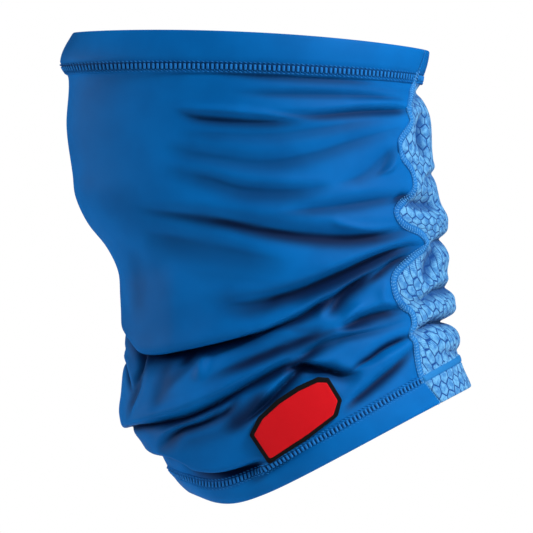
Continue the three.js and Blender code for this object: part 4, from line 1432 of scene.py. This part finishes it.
@dataclass
class Stitches:
    """Rows of coverstitch on the hems and of overlock on the seams."""

    form: TubeForm
    top_pitch: float = 2.75 * MM
    bottom_pitch: float = 2.5 * MM
    seam_pitch: float = 1.75 * MM
    stand: float = 0.75 * MM
    front_steps: int = 900
    back_steps: int = 200
    normal_steps: Pair = (math.radians(0.8), 0.004)
    seam_margin: float = 2.6 * MM
    seam_ends: Pair = (0.003, 0.997)
    seam_rows: int = 620
    tape_offsets: tuple[float, ...] = (2.2, 1.9, 1.0, 0.0, -1.0, -1.9, -2.2)
    tape_rises: tuple[float, ...] = (0.1, 0.5, 0.75, 0.8, 0.75, 0.5, 0.1)
    tape_wall: float = 1.0 * MM
    stripe_half: float = 2.7 * MM
    stripe_rises: tuple[float, ...] = (0.3, 0.95, 1.05, 1.1, 1.1, 1.1, 1.05, 0.95, 0.3)
    stripe_columns: int = 61
    stripe_wall: float = 0.5 * MM

    def middle(self, edge: Edge) -> float:
        """Along share of the middle of the stitched band at an edge."""
        return self.form.from_edge(edge, self.form.hem(edge) + self.form.stitch_band / 2)

    def frames(self, turns: np.ndarray, alongs: np.ndarray, pitch: float) -> list[Matrix]:
        """Places along a line on the folded tube, one at each pitch.

        Args:
            turns: Turns of the line.
            alongs: Along shares of the line.
            pitch: Distance between two places.

        Returns:
            Places with X along the line, Y across it and Z outwards.
        """
        form = self.form
        steps = length_of(np.diff(form.folded(turns, alongs), axis=0))
        run = np.concatenate([[0.0], np.cumsum(steps)])
        count = max(2, round(run[-1] / pitch))
        marks = (np.arange(count) + 0.5) * run[-1] / count

        def at(places: np.ndarray) -> tuple[np.ndarray, np.ndarray]:
            return np.interp(places, run, turns), np.interp(places, run, alongs)

        line = unit(form.folded(*at(marks + 0.3 * pitch)) - form.folded(*at(marks - 0.3 * pitch)))
        normal = form.normal(form.folded, *at(marks), self.normal_steps)
        normal = unit(normal - line * np.sum(normal * line, axis=1)[:, None])
        centre = form.folded(*at(marks)) + normal * self.stand
        grids = np.stack([line, np.cross(normal, line), normal, centre], axis=-1)
        return [Matrix([*grid, (0, 0, 0, 1)]) for grid in grids.tolist()]

    @staticmethod
    def stitch(name: str, threads: Sequence[Sequence[float]]) -> bpy.types.Object:
        """Join short threads to one stitch.

        Args:
            name: The stitch's name.
            threads: For each thread its width, length and height, its X and Y, its turn in degrees
                and its number of sides.

        Returns:
            The stitch.
        """
        parts = []
        for width, length, height, x, y, angle, sides in threads:
            part = Maker.thread("thread", width, length, height, sides)
            turned = Matrix.Rotation(math.radians(angle), 4, "Z")
            part.data.transform(Matrix.Translation((x, y, 0)) @ turned)
            parts.append(part)
        return Maker.joined(name, parts)

    def row(self, edge: Edge, side: Side, pitch: float, finish: Finish) -> bpy.types.Object:
        """A row of coverstitch along a hem: rungs with a needle stitch above and below."""
        form = self.form
        along = self.middle(edge)
        seam = float(form.seam_turn(np.array([along]))[0])
        margin = self.seam_margin / form.seam_radius
        turns = np.linspace(margin - seam, seam - margin, self.front_steps)
        if side is Side.BACK:
            turns = np.linspace(seam + margin, 2 * math.pi - seam - margin, self.back_steps)
        needle, needle_length = 0.5 * MM, 0.72 * pitch
        rung = (
            (0.62 * pitch, 4.2 * MM, 0.9 * MM, 0.0, 0.0, 0, 8),
            (needle, needle_length, needle, 0.0, -2.85 * MM, 68, 6),
            (needle, needle_length, needle, 0.0, 2.75 * MM, 68, 6),
            (0.55 * MM, 0.9 * MM, 0.55 * MM, 0.5 * pitch, -2.1 * MM, 0, 6),
        )
        places = self.frames(turns, np.full_like(turns, along), pitch)
        name = f"{edge.value}_stitches_{side.value}"
        piece = Maker.copies(name, self.stitch("rung", rung), places)
        dress(piece, finish, f"{edge.value}_coverstitch_{side.value}")
        return piece

    def strip(self, turns: np.ndarray, alongs: np.ndarray, offsets: np.ndarray) -> Layer:
        """A grid along a line on the tube, with a column at each offset across it.

        Args:
            turns: Turns of the line.
            alongs: Along shares of the line.
            offsets: Lengths across the line, in metres.

        Returns:
            The grid.
        """
        smooth = self.form.smooth
        turn_step, along_step = math.radians(0.6), 0.002
        by_turn = (smooth(turns + turn_step, alongs) - smooth(turns - turn_step, alongs)) / (2 * turn_step)
        low, high = np.maximum(alongs - along_step, 0), np.minimum(alongs + along_step, 1)
        by_along = (smooth(turns, high) - smooth(turns, low)) / (high - low)[:, None]
        line = unit(np.gradient(smooth(turns, alongs), axis=0))
        across = unit(np.cross(line, unit(np.cross(by_along, by_turn))))
        move = across[:, None] * offsets[:, None]
        a, b, c = (
            np.sum(first * second, axis=1)[:, None]
            for first, second in ((by_turn, by_turn), (by_turn, by_along), (by_along, by_along))
        )
        e, f = (np.sum(move * way[:, None], axis=2) for way in (by_turn, by_along))
        span = a * c - b * b
        grid_turns = turns[:, None] + (c * e - b * f) / span
        grid_alongs = np.clip(alongs[:, None] + (a * f - b * e) / span, 0, 1)
        return Layer.on(self.form, grid_turns, grid_alongs, relax=1)

    def seam(self, side: int, finishes: Finishes) -> tuple[bpy.types.Object, bpy.types.Object]:
        """The flat seam on one side: its tape and its threads.

        Args:
            side: 1 for the wearer's left, -1 for the right.
            finishes: The materials.

        Returns:
            The tape and the threads.
        """
        node = "left_seam" if side > 0 else "right_seam"
        alongs = np.linspace(*self.seam_ends, self.seam_rows)
        turns = side * self.form.seam_turn(alongs)
        layer = self.strip(turns, alongs, np.array(self.tape_offsets) * MM)
        layer.points = layer.lifted(np.array(self.tape_rises) * MM)
        tape = Cloth.walled(f"{node}_tape", layer, self.tape_wall)
        dress(tape, finishes.tape, node)
        overlock = (
            (0.6 * MM, 2.7 * MM, 0.45 * MM, 0.0, 0.0, 18, 6),
            (0.5 * MM, 1.1 * MM, 0.5 * MM, 0.0, -1.95 * MM, 80, 6),
            (0.5 * MM, 1.1 * MM, 0.5 * MM, 0.0, 1.95 * MM, 80, 6),
        )
        places = self.frames(turns, alongs, self.seam_pitch)
        threads = Maker.copies(f"{node}_threads", self.stitch("overlock", overlock), places)
        dress(threads, finishes.pale_thread)
        return tape, threads

    def stripe(self, finish: Finish) -> bpy.types.Object:
        """The plain binding across the back panel, in line with the bottom coverstitch."""
        form = self.form
        middle, half = self.middle(Edge.BOTTOM), self.stripe_half / form.cloth_length
        rises = np.array(self.stripe_rises) * MM
        ways = np.linspace(-1, 1, self.stripe_columns)
        alongs = np.linspace(middle - half, middle + half, len(rises))
        turns = form.across(Side.BACK, ways, form.seam_turn(alongs)[:, None])
        layer = Layer.on(form, turns, np.repeat(alongs[:, None], len(ways), axis=1))
        layer.points = layer.lifted(rises[:, None])
        piece = Cloth.walled("bottom_stripe_back", layer, self.stripe_wall)
        dress(piece, finish, "bottom_coverstitch_back")
        return piece


@dataclass
class Patch:
    """The small bare patch: a black backing and a red face."""

    form: TubeForm
    border: float = 2.5 * MM
    backing_foot: float = 0.5 * MM
    backing_top: float = 2.1 * MM
    face_foot: float = 1.8 * MM
    face_top: float = 2.5 * MM
    rounding: float = 0.35 * MM
    shoulder: float = 0.3 * MM
    bevel: Pair = (0.1 * MM, 0.08 * MM)
    top_rings: int = 22
    foot_rings: int = 6
    smallest_ring: float = 0.04
    last_foot_ring: float = 0.9
    outline: Path = (
        (-0.98, -0.86), (0.0, -0.9), (0.74, -0.82), (1.0, -0.36), (1.03, 0.7), (0.86, 0.98),
        (0.4, 1.14), (-0.1, 1.16), (-0.62, 1.0), (-0.97, 0.6),
    )  # fmt: skip

    def edge(self, margin: float, steps: int = 14) -> np.ndarray:
        """Points round the outline, drawn in by a margin, in metres from the patch's centre."""
        half = np.array([self.form.patch_length, self.form.patch_height]) / 2
        corners = np.array(self.outline) * (half - margin)
        after = np.roll(corners, -1, axis=0)
        parts = np.arange(steps)[:, None, None] / steps
        ring = (corners + (after - corners) * parts).transpose(1, 0, 2).reshape(-1, 2)
        return (np.roll(ring, 1, axis=0) + 2 * ring + np.roll(ring, -1, axis=0)) / 4

    def plate(self, name: str, margin: float, foot: float, top: float) -> bpy.types.Object:
        """Make a plate with the patch's outline and lay it on the tube.

        Args:
            name: The plate's name.
            margin: How far its edge is drawn in.
            foot: Height of its underside over the cloth.
            top: Height of its top.

        Returns:
            The plate.
        """
        form = self.form
        side = self.edge(margin)
        inner = self.edge(margin + self.rounding)
        drawn_in, drop = self.bevel
        least = self.smallest_ring
        rings = [(side, foot), (side, top - self.shoulder), (self.edge(margin + drawn_in), top - drop)]
        rings += [(inner * part, top) for part in np.linspace(1, least, self.top_rings)]
        cap = len(rings)
        rings += [(inner * part, foot) for part in np.linspace(least, self.last_foot_ring, self.foot_rings)]
        flat = np.vstack([ring for ring, _ in rings])
        rises = np.repeat([rise for _, rise in rings], len(inner))
        cos, sin = math.cos(form.patch_tilt), math.sin(form.patch_tilt)
        back = form.patch_back + (flat[:, 0] * cos - flat[:, 1] * sin) / form.depth
        down = form.patch_down - (flat[:, 0] * sin + flat[:, 1] * cos) / form.height
        turn, along = form.chart(back, down)
        points = form.smooth(turn, along) + form.normal(form.smooth, turn, along) * rises[:, None]
        index = np.arange(len(flat)).reshape(len(rings), len(inner))
        closed = np.hstack([index, index[:, :1]])
        faces = Cloth.quads(closed[:cap].T) + Cloth.quads(np.vstack([closed[cap:], closed[:1]]).T)
        faces += [tuple(index[cap - 1].tolist()), tuple(index[cap, ::-1].tolist())]
        return Cloth.finish(name, points, faces, flat)

    def build(self, finishes: Finishes) -> None:
        """Build the backing and the face."""
        backing = self.plate("patch_backing", 0.0, self.backing_foot, self.backing_top)
        dress(backing, finishes.backing, "patch_border")
        face = self.plate("patch_face_cloth", self.border, self.face_foot, self.face_top)
        dress(face, finishes.face, "patch_face")


@dataclass
class Studio:
    """The camera, the lights and a plain pale floor."""

    distance: float = 4.0
    aim: Pair = (-0.0021, 0.0138)
    frame: float = GRID_SQUARES * GRID_STEP
    sensor: float = 36.0
    ambient: float = 0.11
    ambient_tint: tuple[float, ...] = (0.92, 0.96, 1, 1)
    floor_height: float = -0.30
    floor_radius: float = 0.9
    lights: tuple[tuple[str, Place, float, float], ...] = (
        ("key", (0.95, 0.95, 1.25), 0.4, 37),
        ("front_fill", (1.6, 1.3, 0.55), 0.8, 10),
        ("rim", (-0.15, -1.5, 0.25), 0.5, 14),
        ("back_rim", (0.1, 1.5, 0.4), 0.6, 6),
    )

    def camera(self) -> None:
        """Look at the wearer's left side from far off."""
        data = bpy.data.cameras.new("camera")
        data.sensor_width = self.sensor
        data.lens = self.sensor * self.distance / self.frame
        camera = bpy.data.objects.new("camera", data)
        camera.location = (self.distance, *self.aim)
        camera.rotation_euler = (math.pi / 2, 0, math.pi / 2)
        bpy.context.collection.objects.link(camera)
        bpy.context.scene.camera = camera

    def light(self, name: str, place: Place, size: float, power: float) -> None:
        """A soft square light that looks at the gaiter."""
        data = bpy.data.lights.new(name, "AREA")
        data.energy = power
        data.size = size
        lamp = bpy.data.objects.new(name, data)
        lamp.location = place
        lamp.rotation_euler = Vector(place).to_track_quat("Z", "Y").to_euler()
        bpy.context.collection.objects.link(lamp)

    def surroundings(self) -> None:
        """White all round, dimmer as a light than as a backdrop."""
        world = bpy.data.worlds.new("studio")
        bpy.context.scene.world = world
        graph = Graph(world)
        shown = graph.node("ShaderNodeBackground", {}, {"Color": (1, 1, 1, 1), "Strength": 1.0})
        dim = graph.node("ShaderNodeBackground", {}, {"Color": self.ambient_tint, "Strength": self.ambient})
        seen = graph.node("ShaderNodeLightPath", {}, {}).outputs["Is Camera Ray"]
        mixed = graph.node("ShaderNodeMixShader", {}, {0: seen, 1: dim.outputs[0], 2: shown.outputs[0]})
        graph.node("ShaderNodeOutputWorld", {}, {"Surface": mixed.outputs[0]})

    def floor(self) -> None:
        """A pale floor below the gaiter, out of the main view."""
        Maker.clear()
        bpy.ops.mesh.primitive_circle_add(
            vertices=96, radius=self.floor_radius, fill_type="NGON", location=(0, 0, self.floor_height)
        )
        piece = Maker.name("floor")
        graph = Graph(bpy.data.materials.new("pale_floor"))
        piece.data.materials.append(graph.shade({"Base Color": (0.9, 0.9, 0.9, 1), "Roughness": 0.9}))

    def build(self) -> None:
        """Set up the studio."""
        self.camera()
        self.surroundings()
        self.floor()
        for name, place, size, power in self.lights:
            self.light(name, place, size, power)
        bpy.context.scene.view_settings.view_transform = "Standard"


def main() -> None:
    """Build the gaiter in order."""
    logging.basicConfig(level=logging.INFO, format="%(name)s: %(message)s")
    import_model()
    Studio().build()
    form = TubeForm()
    finishes = Finishes()
    panels, hems, stitches = Panels(form), Hems(form), Stitches(form)
    smooth, textured, thread = finishes.smooth, finishes.textured, finishes.thread
    front = panels.build(Side.FRONT, columns=225, rows=297, relax=3, finish=smooth)
    back = panels.build(Side.BACK, columns=73, rows=291, relax=1, finish=textured)
    on_front = [hems.build(Edge.TOP, Side.FRONT, columns=241, finish=smooth)]
    on_back = [hems.build(Edge.TOP, Side.BACK, columns=41, finish=smooth)]
    on_front.append(hems.build(Edge.BOTTOM, Side.FRONT, columns=241, finish=smooth))
    on_back.append(hems.build(Edge.BOTTOM, Side.BACK, columns=61, finish=textured))
    on_front.append(stitches.row(Edge.TOP, Side.FRONT, stitches.top_pitch, thread))
    on_back.append(stitches.row(Edge.TOP, Side.BACK, stitches.top_pitch, thread))
    on_front.append(stitches.row(Edge.BOTTOM, Side.FRONT, stitches.bottom_pitch, thread))
    on_back.append(stitches.stripe(finishes.stripe))
    on_back.extend(stitches.seam(1, finishes))
    on_back.extend(stitches.seam(-1, finishes))
    Patch(form).build(finishes)


if __name__ == "__main__":
    main()
